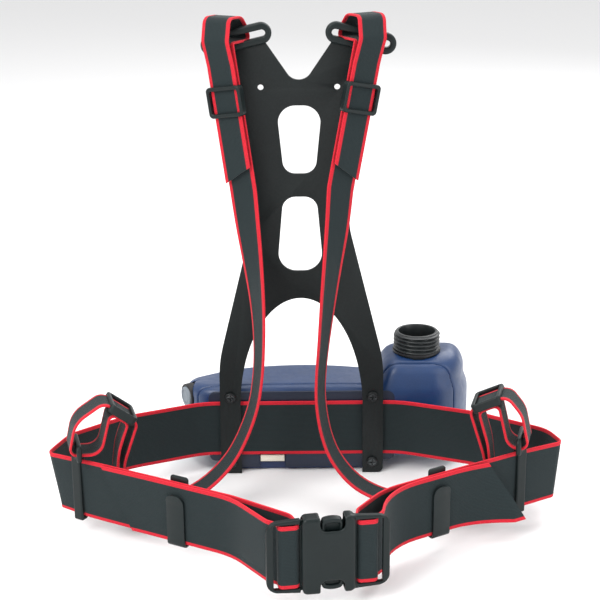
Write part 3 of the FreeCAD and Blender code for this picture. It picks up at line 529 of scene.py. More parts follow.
BUCKLE_AT = np.array([18.0, -226.5])
BUCKLE_YAW = math.radians(9.0)
BUCKLE_OUT = np.array([math.sin(BUCKLE_YAW), -math.cos(BUCKLE_YAW)])
BUCKLE_ALONG = np.array([math.cos(BUCKLE_YAW), math.sin(BUCKLE_YAW)])
SHELL_HALF = 20.0
BAR_IN = 23.5
BAR_OUT = 36.4
SLOT_OUT = 40.2
LADDER_HALF = 45.5
LEFT_CORNER = (-199.5, -98)
RIGHT_CORNER = (208.5, -86)
LEFT_TURNS = [(-85, 4.4, 60), (-150, -25, 80), (-191, -62, 30), (*LEFT_CORNER, 6), (-172, -115, 50),
              (-106, -152, 150)]
RIGHT_TURNS = [(85, 4.4, 60), (150, -23, 80), (201.5, -60, 25), (*RIGHT_CORNER, 6), (170, -107, 50),
               (120, -137, 150)]
LEFT_BEND = (-52, -182.5)
RIGHT_BEND = (61, -173)
LEFT_TAIL = (-175, -113.2)
RIGHT_TAIL = (186, -98.0)
LEFT_CUT_X = -145.0
RIGHT_CUT_X = 156.0
CUT_SLANT = 28 / BELT_W
LAYER_STEP = 2.6
HOOP_MID = -60.0
PAST_KEEPER = (-78.0, -167.0)  # just beyond the left keeper's travel
LEFT_EYE = np.array([-178.0, -111.3])
RIGHT_EYE = np.array([174.0, -104.8])


def buckle_point(along, out):
    point = BUCKLE_AT + BUCKLE_ALONG * along + BUCKLE_OUT * out
    return (float(point[0]), float(point[1]))


def ladder_path(side):
    """The belt's way through one ladder: up behind it, over the bar and back."""
    inner = side * ((SHELL_HALF + BAR_IN) / 2 + 0.1)
    outer = side * (BAR_OUT - 0.3)
    return [(*buckle_point(inner + side * 3, -17), 12), (*buckle_point(inner, -4.4), 6),
            (*buckle_point(inner, 3.1), 3.2), (*buckle_point(outer, 3.1), 3.2),
            (*buckle_point(outer, -4.2), 3), (*buckle_point(outer + side * 7, -10.5), 14)]


def beside(point, before, after):
    """A point of the belt's inner layer moved out to the layer that lies on it."""
    way = unit(np.array(after[:2], float) - np.array(before[:2], float))
    out = np.array([way[1], -way[0]])
    out = out if out[1] < 0 else -out
    return tuple(np.array(point[:2], float) + out * LAYER_STEP)


def belt_centres(side, turns, bend, tail):
    """One half of the belt from the middle of the back round to the buckle and back as the tail."""
    last = turns[-1]
    path = [(0, turns[0][1], 0)] + turns + [(*bend, 60)] + ladder_path(side)
    path += [(*beside(bend, last, bend), 60), (*beside(last, last, bend), 150)]
    path += [(*beside(tail, tail, last), 0)]
    flat = rounded(path)
    return np.column_stack([flat, np.full(len(flat), BELT_MID)])


def nearest(centres, point):
    """Index of the point of the inner layer that is nearest to a place."""
    inner = centres[:len(centres) // 2, :2]
    return int(np.argmin(np.linalg.norm(inner - point, axis=1)))


def flared(centres, at, angle, reach):
    """Across directions of the belt: upright, but leaning outwards near one place."""
    acrosses = np.tile([0.0, 0.0, 1.0], (len(centres), 1))
    s = lengths(centres)
    middle = s[nearest(centres, at)]
    lean = np.radians(angle) * np.exp(-((s - middle) / reach) ** 2)
    out = unit([at[0], at[1] - HOOP_MID])
    acrosses[:, 0] = np.sin(lean) * out[0]
    acrosses[:, 1] = np.sin(lean) * out[1]
    acrosses[:, 2] = np.cos(lean)
    return acrosses


def tail_end(centres, x):
    """Path length at which the outer layer reaches the given x."""
    outer = len(centres) * 2 // 3
    return lengths(centres)[outer + int(np.argmin(np.abs(centres[outer:, 0] - x)))]


def curl_away(start, reach, low, high):
    """Warp that moves a tail's end off its plane, by low at its lower edge and high at its upper."""
    def warp(place, a):
        t = np.clip((place - start) / reach, 0, 1)
        edge = low + (high - low) * (a / BELT_W + 0.5)
        return edge * t * t
    return warp


def mark_cut_end(name, around):
    """Gives the faces of a ribbon's far end a paler colour: a painted highlight along the cut."""
    mesh = bpy.data.objects[name].data
    mesh.materials.append(LOOKS["cut_end"])
    for face in mesh.polygons[-(around // 2):]:
        face.material_index = 1


def waist_belt():
    profile = web_profile(BELT_W, 8)
    left = belt_centres(-1, LEFT_TURNS, LEFT_BEND, LEFT_TAIL)
    right = belt_centres(1, RIGHT_TURNS, RIGHT_BEND, RIGHT_TAIL)
    left_across = flared(left, LEFT_CORNER, 9.0, 26.0)
    right_across = flared(right, RIGHT_CORNER, 5.0, 26.0)
    cut = nearest(left, LEFT_EYE)

    whole = np.vstack([left[cut:0:-1], right])
    across = np.vstack([left_across[cut:0:-1], right_across])
    end = tail_end(whole, RIGHT_CUT_X)
    name = "waist_belt_webbing"
    mesh = ribbon(name, whole, across, profile, end=end, slant=(0, -CUT_SLANT),
                  warp=curl_away(end - 48, 50, 17.0, 6.0))
    add_piece(name, mesh, ["waist_belt"])
    mark_cut_end(name, len(profile))

    front, front_across = left[cut:], left_across[cut:]
    end = tail_end(front, LEFT_CUT_X)
    name = "belt_front_left_webbing"
    mesh = ribbon(name, front, front_across, profile, end=end, slant=(0, CUT_SLANT),
                  shift=-lengths(left)[cut], warp=curl_away(end - 30, 30, -1.2, -0.5))
    start = PLACE @ Vector((*PAST_KEEPER, BELT_MID))
    stop = PLACE @ Vector((*buckle_point(-SHELL_HALF - 2, 0), BELT_MID))
    add_piece(name, mesh, ["belt_end_left", "belt_tail_left"],
              blend=("harness", "male_half", start, stop))


# ---- shoulder straps

RING_X = 50.0
RING_Z = 379.5
RING_TILT = math.radians(13.0)
BAR_OFFSET = 5.75
PLATE_T = 3.0
FRONT_N = 17.6
BACK_N = 13.0
TAIL_S = -112.0
RUN_S = -125.0
ADJUSTER_S = -52.0
STRAP_YAW = 28.0
SIDE_YAW = 75.5
SIDE_START = 46.0
LAYER = 2.3
EYE_Z = 73.0
LEFT_RUN = [(-42.8, -22, 232, 36), (-39, -26, 200, 48), (-35.8, -31, 168, 60), (-34.6, -38, 138, 68),
            (-36, -46, 108, 72), (-41, -55, 82, 74), (-52, -66, 57, 75), (-65, -75, 40, 75),
            (-83, -85, 27, 75), (-104, -93, 20, 75), (-125, -99, 21, 75), (-139, -102.3, 30, 75.5)]
RIGHT_RUN = [(-30.5, -22, 232, 36), (-26.5, -26, 200, 48), (-22.5, -31, 168, 58), (-19, -38, 138, 66),
             (-16, -46, 108, 70), (-16, -53, 86, 72), (-20, -62, 64, 74), (-28, -71, 46, 75),
             (-42, -80, 31, 75), (-60, -87, 22, 75), (-82, -92, 18, 75), (-108, -95, 18, 75),
             (-128, -96.6, 22, 75), (-143.5, -98, 31, 75.5)]


def facing(yaw):
    """Direction across a strap that is turned away from the back plate by yaw degrees."""
    turn = math.radians(yaw)
    return np.array([math.cos(turn), -math.sin(turn), 0.0])


class StrapFrame:
    """Frame at a slot ring's upper bar, on the -X side: X to the wearer, Y up the strap."""

    def __init__(self, x, roll):
        lean = math.radians(roll)
        across = facing(STRAP_YAW)
        self.across = across
        self.up = np.array([0, 0, 1.0]) * math.cos(lean) - across * math.sin(lean)
        self.flat = np.array([across[1], -across[0], 0.0])
        height = RING_Z - (x - RING_X) * math.tan(RING_TILT) + BAR_OFFSET / math.cos(RING_TILT)
        self.origin = np.array([-x, PLATE_T / 2, height])

    def world(self, points):
        points = np.asarray(points, float)
        return self.origin + np.outer(points[:, 0], self.flat) + np.outer(points[:, 1], self.up)

    def matrix(self):
        return axes_at(self.origin, self.flat, self.up, np.cross(self.flat, self.up))


class SideFrame:
    """Vertical plane through the hanger's eye, on the -X side: X inwards, Y up."""

    def __init__(self, eye, reach, height, tilt):
        self.eye = np.array([-abs(eye[0]), eye[1], 0.0])
        self.reach = reach
        self.height = height
        self.tilt = math.radians(tilt)
        across = facing(SIDE_YAW)
        self.across = across
        self.inward = np.array([-across[1], across[0], 0.0])

    def world(self, points):
        points = np.asarray(points, float)
        return self.eye + np.outer(points[:, 0], self.inward) + np.outer(points[:, 1], [0, 0, 1.0])

    def on_adjuster(self, along, out):
        """A point given along and out from the tilted slider's middle."""
        c, s = math.cos(self.tilt), math.sin(self.tilt)
        return (self.reach + along * c + out * s, self.height - along * s + out * c)

    def adjuster_matrix(self):
        c, s = math.cos(self.tilt), math.sin(self.tilt)
        x_dir = self.inward * c - np.array([0, 0, s])
        y_dir = self.inward * s + np.array([0, 0, c])
        return axes_at(self.world([(self.reach, self.height)])[0], x_dir, y_dir, np.cross(x_dir, y_dir))


LEFT_TOP = StrapFrame(57.0, 9.0)
RIGHT_TOP = StrapFrame(50.0, 12.0)
LEFT_SIDE = SideFrame(LEFT_EYE, 34.0, 102.0, 38.0)
RIGHT_SIDE = SideFrame(RIGHT_EYE, 25.5, 106.0, 26.0)


def top_path():
    """Front layer from the tail up, over the ring's bar, through its slot and down behind."""
    return rounded([(FRONT_N, TAIL_S - 6, 0), (FRONT_N, -24, 20), (FRONT_N + 2.6, -4, 9),
                    (12, 13.4, 8), (-7, 13.2, 8), (-13, 3, 5), (-13, -BAR_OFFSET, 3),
                    (BACK_N, -BAR_OFFSET, 3.2), (BACK_N, RUN_S, 0)])


def side_path(side):
    """Loop over the side slider, down to the hanger's eye, through it and back under the slider."""
    top_in = side.on_adjuster(15, LAYER)
    top_out = side.on_adjuster(-17, LAYER)
    low_out = side.on_adjuster(-8, -LAYER)
    low_in = side.on_adjuster(9, -LAYER)
    shoulder = (-1.5, (top_out[1] + EYE_Z) / 2 + 6)
    return rounded([(side.reach + 1, SIDE_START, 0), (side.reach + 1, SIDE_START + 14, 40), (*top_in, 6),
                    (*top_out, 9), (*shoulder, 22), (-7.5, EYE_Z, 5.5), (low_out[0] - 9, EYE_Z - 2, 11),
                    (*low_out, 4), (*low_in, 5), (low_in[0] - 8, EYE_Z, 60), (low_in[0] - 12, 40, 0)], 3.0)


def shoulder_strap(side_name, top, side, run, mirror):
    """One strap in a single length. The right one is laid out on the left and mirrored."""
    upper = top.world(top_path())
    lower = side.world(side_path(side))
    stations = [top.world([(BACK_N, RUN_S + 8)])[0], upper[-1]]
    stations += [np.array(p[:3], float) for p in run]
    stations += [lower[0] - [0, 0, 5], lower[0], lower[1]]
    widths = [top.across, top.across] + [facing(p[3]) for p in run] + [side.across] * 3
    middle, widths = through(stations), unit(through(widths))
    centres = np.vstack([upper[:-1], middle, lower[1:]])
    acrosses = np.vstack([np.tile(top.across, (len(upper) - 1, 1)), widths,
                          np.tile(side.across, (len(lower) - 1, 1))])
    if mirror:
        centres = centres * [-1, 1, 1]
        acrosses = acrosses * [-1, 1, 1]
    node = "shoulder_strap_" + side_name
    mesh = ribbon(node + "_webbing", centres, acrosses, web_profile(STRAP_W, 4),
                  slant=(12.0 / STRAP_W, 0), curl=30.0)
    add_piece(node + "_webbing", mesh, [node], look=STRAP_LOOK)


def shoulder_straps():
    shoulder_strap("left", LEFT_TOP, LEFT_SIDE, LEFT_RUN, False)
    shoulder_strap("right", RIGHT_TOP, RIGHT_SIDE, RIGHT_RUN, True)


# ---- solid fields

def surface(name, field, low, high, cell, matrix=None):
    """Mesh of the surface where a signed distance field is zero, by surface nets on a grid."""
    low = np.array(low, float)
    counts = np.ceil((np.array(high, float) - low) / cell).astype(int) + 1
    axes = [low[i] + cell * np.arange(counts[i]) for i in range(3)]
    values = field(*np.meshgrid(*axes, indexing="ij"))
    inside = values < 0
    total = np.zeros((*(counts - 1), 3))
    hits = np.zeros(counts - 1)
    crossings = []
    for axis in range(3):
        near = [slice(None)] * 3
        far = [slice(None)] * 3
        near[axis], far[axis] = slice(None, -1), slice(1, None)
        near, far = tuple(near), tuple(far)
        at = np.argwhere(inside[near] != inside[far])
        first, second = values[near][tuple(at.T)], values[far][tuple(at.T)]
        point = at.astype(float)
        point[:, axis] += first / (first - second)
        b, c = (axis + 1) % 3, (axis + 2) % 3
        corners = []
        for shift_b, shift_c in ((1, 1), (0, 1), (0, 0), (1, 0)):
            cell_at = at.copy()
            cell_at[:, b] -= shift_b
            cell_at[:, c] -= shift_c
            np.add.at(total, tuple(cell_at.T), point)
            np.add.at(hits, tuple(cell_at.T), 1)
            corners.append(cell_at)
        crossings.append((corners, first < 0))
    used = hits > 0
    ids = np.full(hits.shape, -1)
    ids[used] = np.arange(used.sum())
    verts = total[used] / hits[used][:, None] * cell + low
    faces = []
    for corners, outward in crossings:
        quads = np.stack([ids[tuple(c.T)] for c in corners], axis=1)
        quads[~outward] = quads[~outward][:, ::-1]
        faces += quads.tolist()
    mesh = bpy.data.meshes.new(name)
    mesh.from_pydata(verts.tolist(), [], faces)
    if matrix:
        mesh.transform(matrix)
        if matrix.determinant() < 0:
            mesh.flip_normals()
    mesh.shade_smooth()
    return mesh


def most(a, b, blend=0.0):
    """The larger of two fields, with the corner between them rounded by blend."""
    if blend == 0:
        return np.maximum(a, b)
    h = np.maximum(blend - np.abs(a - b), 0) / blend
    return np.maximum(a, b) + h * h * blend / 4


def least(a, b, blend=0.0):
    return -most(-a, -b, blend)


def less(a, b, blend=0.0):
    """Field a with field b cut away."""
    return most(a, -b, blend)


def block(x, y, z, low, high, corner=0.0, edge=0.0):
    """Box with round corners in the XY plane and round edges along Z."""
    half = (np.array(high, float) - np.array(low, float)) / 2
    mid = (np.array(high, float) + np.array(low, float)) / 2
    qx = np.abs(x - mid[0]) - (half[0] - corner)
    qy = np.abs(y - mid[1]) - (half[1] - corner)
    flat = np.hypot(np.maximum(qx, 0), np.maximum(qy, 0)) + np.minimum(np.maximum(qx, qy), 0) - corner
    up = np.abs(z - mid[2]) - half[2]
    a, b = flat + edge, up + edge
    return np.hypot(np.maximum(a, 0), np.maximum(b, 0)) + np.minimum(np.maximum(a, b), 0) - edge


def polygon(x, y, points, blend):
    """Field of a convex polygon, corners listed anticlockwise, rounded by blend."""
    out = None
    for (ax, ay), (bx, by) in zip(points, points[1:] + points[:1]):
        length = math.hypot(bx - ax, by - ay)
        side = ((x - ax) * (by - ay) - (y - ay) * (bx - ax)) / length
        out = side if out is None else most(out, side, blend)
    return out


# ---- buckle

SHELL_T = 14.0
SHELL_HIGH = 61.0
SLOT_HIGH = 25.6
NOTCH = (-6.0, 11.5)
VISIBLE_BAR = (23.9, 35.0)
PRONG_ROOT = (-14.0, 18.0)
BUTTON_MID = 2.8
LADDER_HIGH = 29.5


def ladder_field(u, v, n):
    """Frame with two slots and a bar, from the shell outwards along +u."""
    taper = 0.07 * np.maximum(u - SHELL_HALF, 0)
    frame = block(u, v * (1 + taper / LADDER_HIGH), n, (-12, -LADDER_HIGH, -1.8),
                  (LADDER_HALF, LADDER_HIGH, 3.6), 8.5, 1.5)
    frame = most(frame, np.abs(n - 0.9) - 2.7, 0.8)
    for low, high in ((SHELL_HALF + 0.9, VISIBLE_BAR[0]), (VISIBLE_BAR[1], SLOT_OUT)):
        frame = less(frame, block(u, v, n, (low, -SLOT_HIGH, -20), (high, SLOT_HIGH, 20), 0.8), 0.9)
    front = block(u, v, n, (BAR_IN - 1, -SLOT_HIGH, 1.3), (BAR_OUT + 1, SLOT_HIGH, 20), 0.5)
    behind = block(u, v, n, (SHELL_HALF, -SLOT_HIGH, -20), (LADDER_HALF + 9, SLOT_HIGH, -1.3), 0.5)
    return less(less(frame, front, 0.9), behind, 0.7)


def female_field(u, v, n):
    """Hollow crowned shell, open towards the male half, notched for the buttons, with its ladder."""
    half = SHELL_HIGH / 2
    crown = 0.0016 * (u ** 2) + 0.0006 * (v ** 2)
    shell = block(u, v, n + np.sign(n) * crown, (-SHELL_HALF, -half, -SHELL_T / 2),
                  (SHELL_HALF, half, SHELL_T / 2), 4.5, 2.8)
    shell = less(shell, block(u, v, n, (-30, -28.6, -4.2), (17, 28.6, 4.2), 1.0, 0.5), 0.7)
    for side in (-1, 1):
        notch = block(u, v * side, n, (NOTCH[0], 19.8, -20), (NOTCH[1], 45, 20), 5.0)
        shell = less(shell, notch, 2.2)
    ladder = most(ladder_field(u, v, n), SHELL_HALF - 2.4 - u, 0.5)
    return least(shell, ladder, 1.4)


def male_field(u, v, n):
    """Ladder with a yoke and a middle tongue; the spring arms are pieces of their own."""
    frame = most(ladder_field(-u, v, n), u + SHELL_HALF + 0.5, 0.8)
    yoke = block(u, v, n, (-23, -28.2, -1.3), (-15, 28.2, 1.3), 1.0, 0.6)
    yoke = least(yoke, block(u, v, n, (-19.6, -24, -3.6), (-15, 24, 3.6), 1.0, 0.6), 0.6)
    yoke = less(yoke, block(u, v, n, (-24, -SLOT_HIGH, -20), (-21.0, SLOT_HIGH, 20), 0.4), 0.5)
    tongue = block(u, v, n, (-17, -4.5, -3.6), (12, 4.5, 3.6), 2.0, 0.8)
    whole = least(least(frame, yoke, 0.5), tongue, 1.5)
    for side in (-1, 1):
        whole = less(whole, np.hypot(u - PRONG_ROOT[0], v - side * PRONG_ROOT[1]) - 2.9, 0.3)
    return whole


def prong_field(u, v, n):
    """Upper spring arm: slim root, then an arched button with a hollow face."""
    arm = block(u, v, n, (-14.5, 15.6, -3.4), (-3.5, 20.6, 3.4), 1.2, 0.7)
    off = u - BUTTON_MID
    arch = most(np.hypot(off, v - 8.4) - 20.0, 17.4 - v, 1.5)
    arch = most(arch, np.abs(off) - 7.8, 2.5)
    arch = most(arch, np.abs(n) - 3.4, 1.0)
    hollow = most(np.hypot(off, v - 8.0) - 17.0, np.abs(off) - 5.6, 1.5)
    hollow = most(hollow, 1.0 - n, 0.8)
    arch = less(arch, hollow, 1.2)
    root = most(np.hypot(u - PRONG_ROOT[0], v - PRONG_ROOT[1]) - 2.6, np.abs(n) - 3.4, 0.5)
    return least(least(arm, arch, 2.0), root, 0.8)


def buckle():
    where = axes_at((*BUCKLE_AT, BELT_MID), (*BUCKLE_ALONG, 0), (0, 0, 1), (*BUCKLE_OUT, 0))
    tall = SHELL_HIGH / 2 + 1.5
    mesh = surface("female", female_field, (-22, -tall, -9), (48, tall, 9), 0.5, where)
    add_piece("buckle_female_shell", mesh, ["buckle_female"])
    mesh = surface("male", male_field, (-48, -tall, -6), (14, tall, 6), 0.5, where)
    add_piece("buckle_male_frame", mesh, ["buckle_male"])
    for side, node in ((1, "buckle_prong_upper"), (-1, "buckle_prong_lower")):
        flipped = where @ Matrix.Scale(side, 4, (0, 1, 0))
        mesh = surface(node, prong_field, (-18, 13, -5), (16, 31, 5), 0.4, flipped)
        add_piece(node + "_arm", mesh, [node])


# ---- sliders, hangers and rings

SLIDER_HALF = 12.5
STRAP_HALF = STRAP_W / 2 + 0.4
LEFT_WAY = np.array([0.851, -0.526])
RIGHT_WAY = np.array([0.878, -0.479])
RING_LONG = 58.0
RING_HIGH = 17.4
RING_T = 8.0
SLOT_LONG = 48.0
SLOT_GAP = 5.6


def slider_field(along, across, out, low, high, bar_top):
    """Three-bar slider: two end bars over the strap and a middle bar between its layers."""
    half_w = STRAP_HALF + 2.9
    frame = block(along, across, out, (-SLIDER_HALF, -half_w, low), (SLIDER_HALF, half_w, high), 3.6, 1.2)
    window = block(along, across, out, (-9, -STRAP_HALF, low - 9), (9, STRAP_HALF, high + 9), 1.6)
    frame = less(frame, window, 1.4)
    under = block(along, across, out, (-30, -STRAP_HALF, low - 9), (30, STRAP_HALF, high - 2.8), 0.3)
    frame = less(frame, under, 0.7)
    bar = block(along, across, out, (-4, -half_w + 1, low), (4, half_w - 1, bar_top), 1.0, 0.8)
    return least(frame, bar, 0.6)


def top_slider(side_name, top, mirror):
    low, high = BACK_N + WEB_T / 2 + 0.3, FRONT_N + WEB_T / 2 + 3.1

    def field(x, y, z):
        return slider_field(y - ADJUSTER_S, z, x, low, high, FRONT_N - WEB_T / 2 - 0.3)

    matrix = MIRROR @ top.matrix() if mirror else top.matrix()
    mesh = surface("top_slider", field, (low - 2, ADJUSTER_S - 15, -18),
                   (high + 2, ADJUSTER_S + 15, 18), 0.45, matrix)
    add_piece("strap_slider_" + side_name, mesh, ["strap_adjuster_" + side_name])


def side_slider(side_name, side, mirror):
    low, high = -LAYER + WEB_T / 2 + 0.3, LAYER + WEB_T / 2 + 2.9

    def field(x, y, z):
        return slider_field(x, z, y, low, high, LAYER - WEB_T / 2 - 0.3)

    matrix = MIRROR @ side.adjuster_matrix() if mirror else side.adjuster_matrix()
    mesh = surface("side_slider", field, (-16, low - 2, -18), (16, high + 2, 18), 0.45, matrix)
    add_piece("side_slider_" + side_name, mesh, ["side_adjuster_" + side_name])


def hanger(side_name, eye, way, mirror):
    """Flat frame round the belt and a slotted eye above it, turned to face the strap."""
    top = BELT_LOW + BELT_W + 0.6
    wall = WEB_T / 2 + 0.45
    across = facing(SIDE_YAW)

    def field(x, y, z):
        dx, dy = x - eye[0], y - eye[1]
        along = dx * way[0] + dy * way[1]
        out = -dx * way[1] + dy * way[0]
        frame = block(out, z, along, (-wall - 2.3, BELT_LOW - 3.3, -4.4), (wall + 2.3, top + 2.4, 4.4), 1.6,
                      1.3)
        frame = less(frame, block(out, z, along, (-wall, BELT_LOW - 0.6, -20), (wall, top, 20), 0.5), 0.4)
        wide = dx * across[0] + dy * across[1]
        deep = -dx * across[1] + dy * across[0]
        ring = block(wide, z, deep, (-16.8, top + 0.1, -2.1), (16.8, 81.5, 2.1), 5.0, 1.6)
        ring = less(ring, block(wide, z, deep, (-13.2, 70.0, -20), (13.2, 75.8, 20), 1.6), 1.2)
        return least(frame, ring, 2.2)

    low = (eye[0] - 20, eye[1] - 20, BELT_LOW - 5)
    high = (eye[0] + 20, eye[1] + 20, 84)
    mesh = surface("hanger", field, low, high, 0.5, MIRROR if mirror else None)
    add_piece("strap_hanger_" + side_name + "_frame", mesh, ["strap_hanger_" + side_name])


def ring_field(x, y, z):
    """Oval ring with two moulded grooves round each face."""
    beyond = np.maximum(np.abs(x) - (RING_LONG - RING_HIGH) / 2, 0)
    outer = np.hypot(beyond, y) - RING_HIGH / 2
    beyond = np.maximum(np.abs(x) - (SLOT_LONG - SLOT_GAP) / 2, 0)
    slot = np.hypot(beyond, y) - SLOT_GAP / 2
    ring = most(most(outer, np.abs(z) - RING_T / 2, 2.6), -slot, 1.6)
    middle = (outer - slot) / 2
    for place in (-1.15, 1.15):
        groove = np.hypot(middle - place, np.abs(z) - RING_T / 2) - 0.5
        ring = less(ring, groove, 0.3)
    return ring


def slot_ring(side_name, side):
    c, s = math.cos(RING_TILT), math.sin(RING_TILT)
    matrix = axes_at((side * RING_X, PLATE_T / 2, RING_Z), (c, 0, -side * s), (side * s, 0, c), (0, -1, 0))
    half = RING_LONG / 2 + 1
    mesh = surface("ring", ring_field, (-half, -10, -5), (half, 10, 5), 0.42, matrix)
    add_piece("slot_ring_" + side_name + "_oval", mesh, ["slot_ring_" + side_name])


def harness_fittings():
    top_slider("left", LEFT_TOP, False)
    top_slider("right", RIGHT_TOP, True)
    side_slider("left", LEFT_SIDE, False)
    side_slider("right", RIGHT_SIDE, True)
    hanger("left", LEFT_EYE, LEFT_WAY, False)
    hanger("right", RIGHT_EYE * [-1, 1], RIGHT_WAY, True)
    slot_ring("left", -1)
    slot_ring("right", 1)
    softened("belt_keeper_left", 0.55)
    softened("belt_keeper_right", 0.55)
    softened("back_plate", 0.55)
    softened("plate_screws", 0.12)


# ---- blower unit

UNIT_FRONT = 8.2
UNIT_SPLIT = 16.0
UNIT_REAR = 70.0
UNIT_LOW = 12.0
BODY_TOP = 78.0
BLOCK_TOP = 100.0
WALL = 2.5
NECK = (102.0, 39.0)
NECK_BASE = 93.4
NECK_TOP = 118.2
NECK_ROOT = 18.5
NECK_BORE = 16.0
NECK_TURNS = (99.5, NECK_TOP - 1.0)  # heights between which the thread runs
THREAD_HIGH = 1.9
THREAD_PITCH = 3.45
PORTS = (-45.0, 27.0)
PORT_Z = 46.0
PORT_ROOT = 20.6
PORT_TURNS = (1.0, 12.0)
UNIT_LEFT = -109.0
UNIT_RIGHT = 149.0
BLOCK_LEFT = 68.0
UNIT_PLAN = [(-87, UNIT_FRONT), (126, UNIT_FRONT), (UNIT_RIGHT, 40), (UNIT_RIGHT, UNIT_REAR),
             (-78, UNIT_REAR), (UNIT_LEFT, UNIT_REAR - 12), (UNIT_LEFT, 40)]
CASE_SCREWS = [(-84, 24), (-84, 64), (122, 22), (128, 82), (76, 88)]
CAP_AT = (-98.9, 32.0, 61.0)
CAP_OUT = (-0.864, -0.503, 0.0)


def unit_field(x, y, z):
    """Outer form of the blower unit: a low body, crowned behind, and a taller block."""
    plan = polygon(x, y, UNIT_PLAN, 14.0)
    drop = 5.5 * (x / 75.0) ** 2 * np.clip((y - UNIT_FRONT) / 50.0, 0, 1)
    body = most(plan, z - BODY_TOP + np.minimum(drop, 9.0), 11.0)
    body = most(body, UNIT_LEFT - x + 0.35 * np.maximum(z - 66.0, 0), 16.0)
    tall = most(plan, z - BLOCK_TOP + 0.10 * np.maximum(UNIT_FRONT + 26 - y, 0), 17.0)
    lean = np.maximum(z - 84.0, 0)
    tall = most(tall, BLOCK_LEFT - x + 0.25 * lean, 15.0)
    tall = most(tall, x - UNIT_RIGHT + 0.3 * lean, 13.0)
    whole = least(body, tall, 9.0)
    whole = most(whole, UNIT_LOW - z, 5.0)
    recess = block(x, z, y, (-68, -20, -50), (68, 16.3, 150), 1.0)
    return less(whole, recess, 1.5)


def cylinder_field(x, y, z, at, way, radius):
    """Field of an endless cylinder, and the distance along its axis from a point on it."""
    dx, dy, dz = x - at[0], y - at[1], z - at[2]
    along = dx * way[0] + dy * way[1] + dz * way[2]
    return np.sqrt(np.maximum(dx * dx + dy * dy + dz * dz - along * along, 0)) - radius, along


def shell_field(x, y, z):
    """Wall of the unit with its openings for neck, filter ports, cap and battery, and screw wells."""
    outer = unit_field(x, y, z)
    shell = most(outer, -outer - WALL)
    neck, _ = cylinder_field(x, y, z, (*NECK, 0), (0, 0, 1), NECK_ROOT + 0.5)
    shell = less(shell, most(neck, 90.0 - z), 0.5)
    for port_x in PORTS:
        port, _ = cylinder_field(x, y, z, (port_x, 0, PORT_Z), (0, 1, 0), 22.3)
        shell = less(shell, most(port, 62.0 - y), 0.5)
    cap, along = cylinder_field(x, y, z, CAP_AT, CAP_OUT, 11.3)
    shell = less(shell, most(cap, -12.0 - along), 0.5)
    for screw_x, screw_z in CASE_SCREWS:
        away = np.hypot(x - screw_x, z - screw_z)
        boss = most(most(away - 4.9, outer + 1.0), UNIT_SPLIT - y)
        shell = least(shell, boss, 0.8)
        shell = less(shell, most(away - 3.4, 30.0 - y), 0.6)
    return less(shell, block(x, z, y, (-61.5, -20, 18), (61.5, 17, 52), 1.0))


def casings():
    low, high = (-112, UNIT_FRONT - 3, UNIT_LOW - 3), (152, UNIT_REAR + 3, BLOCK_TOP + 3)
    gap = 0.25

    def front(x, y, z):
        return most(shell_field(x, y, z), y - UNIT_SPLIT + gap, 0.8)

    def rear(x, y, z):
        return most(shell_field(x, y, z), UNIT_SPLIT + gap - y, 0.8)

    mesh = surface("front", front, low, (high[0], UNIT_SPLIT + 2, high[2]), 1.1)
    add_piece("casing_front_cover", mesh, ["casing_front"])
    mesh = surface("rear", rear, (low[0], UNIT_SPLIT - 2, low[2]), high, 1.1)
    add_piece("casing_rear_tub", mesh, ["casing_rear"])


def lathe(name, profile, segments, matrix, thread=None):
    """Turns a closed outline of (radius, height) points; a thread function adds to some radii."""
    verts, faces = [], []
    count = len(profile)
    for i in range(segments):
        angle = 2 * math.pi * i / segments
        for radius, height in profile:
            r = radius + (thread(radius, height, i / segments) if thread else 0.0)
            verts.append((r * math.cos(angle), r * math.sin(angle), height))
    for i in range(segments):
        j = (i + 1) % segments
        for k in range(count):
            m = (k + 1) % count
            faces.append((i * count + k, j * count + k, j * count + m, i * count + m))
    mesh = finish_mesh(name, verts, faces, 40.0)
    mesh.transform(matrix)
    return mesh


def thread(root, turns, rise, way, fades, power):
    """Helix for a lathe: a rise on the root radius between two heights, fading out at both ends."""
    low, high = turns

    def rise_at(radius, height, turn):
        if radius != root or not low < height < high:
            return 0.0
        phase = ((height / THREAD_PITCH + way * turn) % 1.0) * 2 - 1
        fade = min(1.0, (height - low) / fades[0], (high - height) / fades[1])
        return rise * fade * max(0.0, math.cos(phase * math.pi / 2)) ** power

    return rise_at


def hose_neck():
    steps = 72
    outer = [(NECK_ROOT, NECK_BASE + (NECK_TOP - 0.9 - NECK_BASE) * k / steps) for k in range(steps + 1)]
    rim = [(NECK_ROOT - 0.1, NECK_TOP - 0.35), (NECK_ROOT - 0.5, NECK_TOP - 0.08),
           (NECK_ROOT - 0.9, NECK_TOP), (NECK_BORE + 0.7, NECK_TOP), (NECK_BORE + 0.25, NECK_TOP - 0.15),
           (NECK_BORE, NECK_TOP - 0.6)]
    inner = [(NECK_BORE, 110.0), (NECK_BORE, 108.0), (NECK_BORE + 0.25, 107.6), (NECK_BORE + 0.25, 91.0)]
    foot = [(19.3, 91.0), (19.3, NECK_BASE - 0.2)]
    matrix = Matrix.Translation((*NECK, 0))
    helix = thread(NECK_ROOT, NECK_TURNS, THREAD_HIGH, 1, (1.5, 0.8), 1.3)
    mesh = lathe("hose_neck_threaded", outer + rim + inner + foot, 120, matrix, helix)
    add_piece("hose_neck_threaded", mesh, ["hose_neck"])


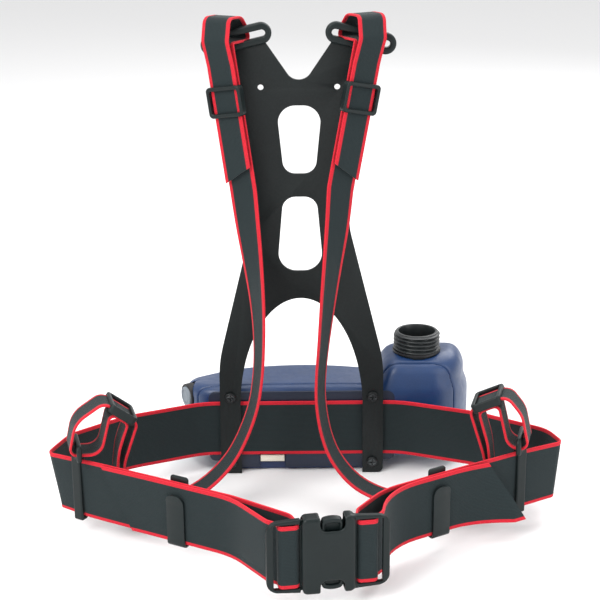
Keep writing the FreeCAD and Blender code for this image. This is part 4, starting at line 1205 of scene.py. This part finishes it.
def filter_ports():
    inside = [(PORT_ROOT, 0.3 + 13.0 * k / 52) for k in range(53)]
    collar = [(21.4, 13.9), (22.4, 14.0), (23.8, 14.0), (24.6, 13.8), (25.0, 13.2), (25.0, 9.4)]
    grip = [(24.4, 9.1), (22.0, 9.0), (21.9, 8.8), (21.9, -4.0), (15.0, -4.0), (15.0, -2.0), (19.7, -2.0)]
    helix = thread(PORT_ROOT, PORT_TURNS, -0.9, -1, (1.2, 1.2), 1.0)
    for x, side in zip(PORTS, ("left", "right")):
        turned = Matrix.Translation((x, UNIT_REAR - 9.0, PORT_Z)) @ Matrix.Rotation(-math.pi / 2, 4, "X")
        mesh = lathe("filter_port", inside + collar + grip, 96, turned, helix)
        add_piece("filter_socket_" + side, mesh, ["filter_port_" + side])


def case_screw_set():
    """Pan-head screws at the bottom of the wells in the rear tub."""
    outline = [(1.5, -12.0), (1.5, 0.0), (2.9, 0.1), (3.0, 0.5), (2.8, 1.5), (2.2, 2.1), (1.6, 2.3),
               (1.2, 2.3), (1.1, 1.4), (0.02, 1.2), (0.02, -12.0)]
    work = bmesh.new()
    for x, z in CASE_SCREWS:
        turned = Matrix.Translation((x, 30.0, z)) @ Matrix.Rotation(-math.pi / 2, 4, "X")
        work.from_mesh(lathe("case_screw", outline, 24, turned))
    mesh = bpy.data.meshes.new("case_screw_set")
    work.to_mesh(mesh)
    work.free()
    mesh.shade_smooth()
    add_piece("case_screw_set", mesh, ["case_screws"])


def power_cap():
    """Round grey cap with a raised rim, a groove and a dished face."""
    face = Vector(CAP_OUT).to_track_quat("Z", "Y").to_matrix().to_4x4()
    matrix = Matrix.Translation(CAP_AT) @ face
    outline = [(8.9, -1.5), (8.9, 3.4), (8.7, 4.1), (8.2, 4.6), (7.4, 4.85), (6.6, 4.8), (6.2, 4.5),
               (5.9, 4.1), (5.6, 4.2), (5.2, 4.45), (3.0, 4.3), (0.6, 4.25), (0.02, 4.25), (0.02, -1.5)]
    add_piece("power_cap", lathe("power_cap", outline, 64, matrix), ["power_button"])
    ring = [(9.2, -3.5), (9.2, 3.0), (9.5, 3.5), (10.4, 3.6), (11.0, 3.2), (11.2, 2.4), (11.2, -3.5)]
    add_piece("cap_surround", lathe("cap_surround", ring, 64, matrix), ["button_bezel"])


def blower_unit():
    casings()
    hose_neck()
    filter_ports()
    case_screw_set()
    power_cap()
    softened("belt_carrier", 0.8)
    softened("battery_pack", 0.6)
    softened("battery_latch", 0.4)


# ---- making

LOOKS = make_looks()
STRAP_LOOK = webbing("strap_webbing", STRAP_W)


def main():
    add_camera()
    add_lights()
    add_floor()
    for node, shown in frame["nodes"].items():
        shown.data.materials.clear()
        shown.data.materials.append(LOOKS[SLOTS[node]])
    waist_belt()
    shoulder_straps()
    buckle()
    harness_fittings()
    blower_unit()


main()
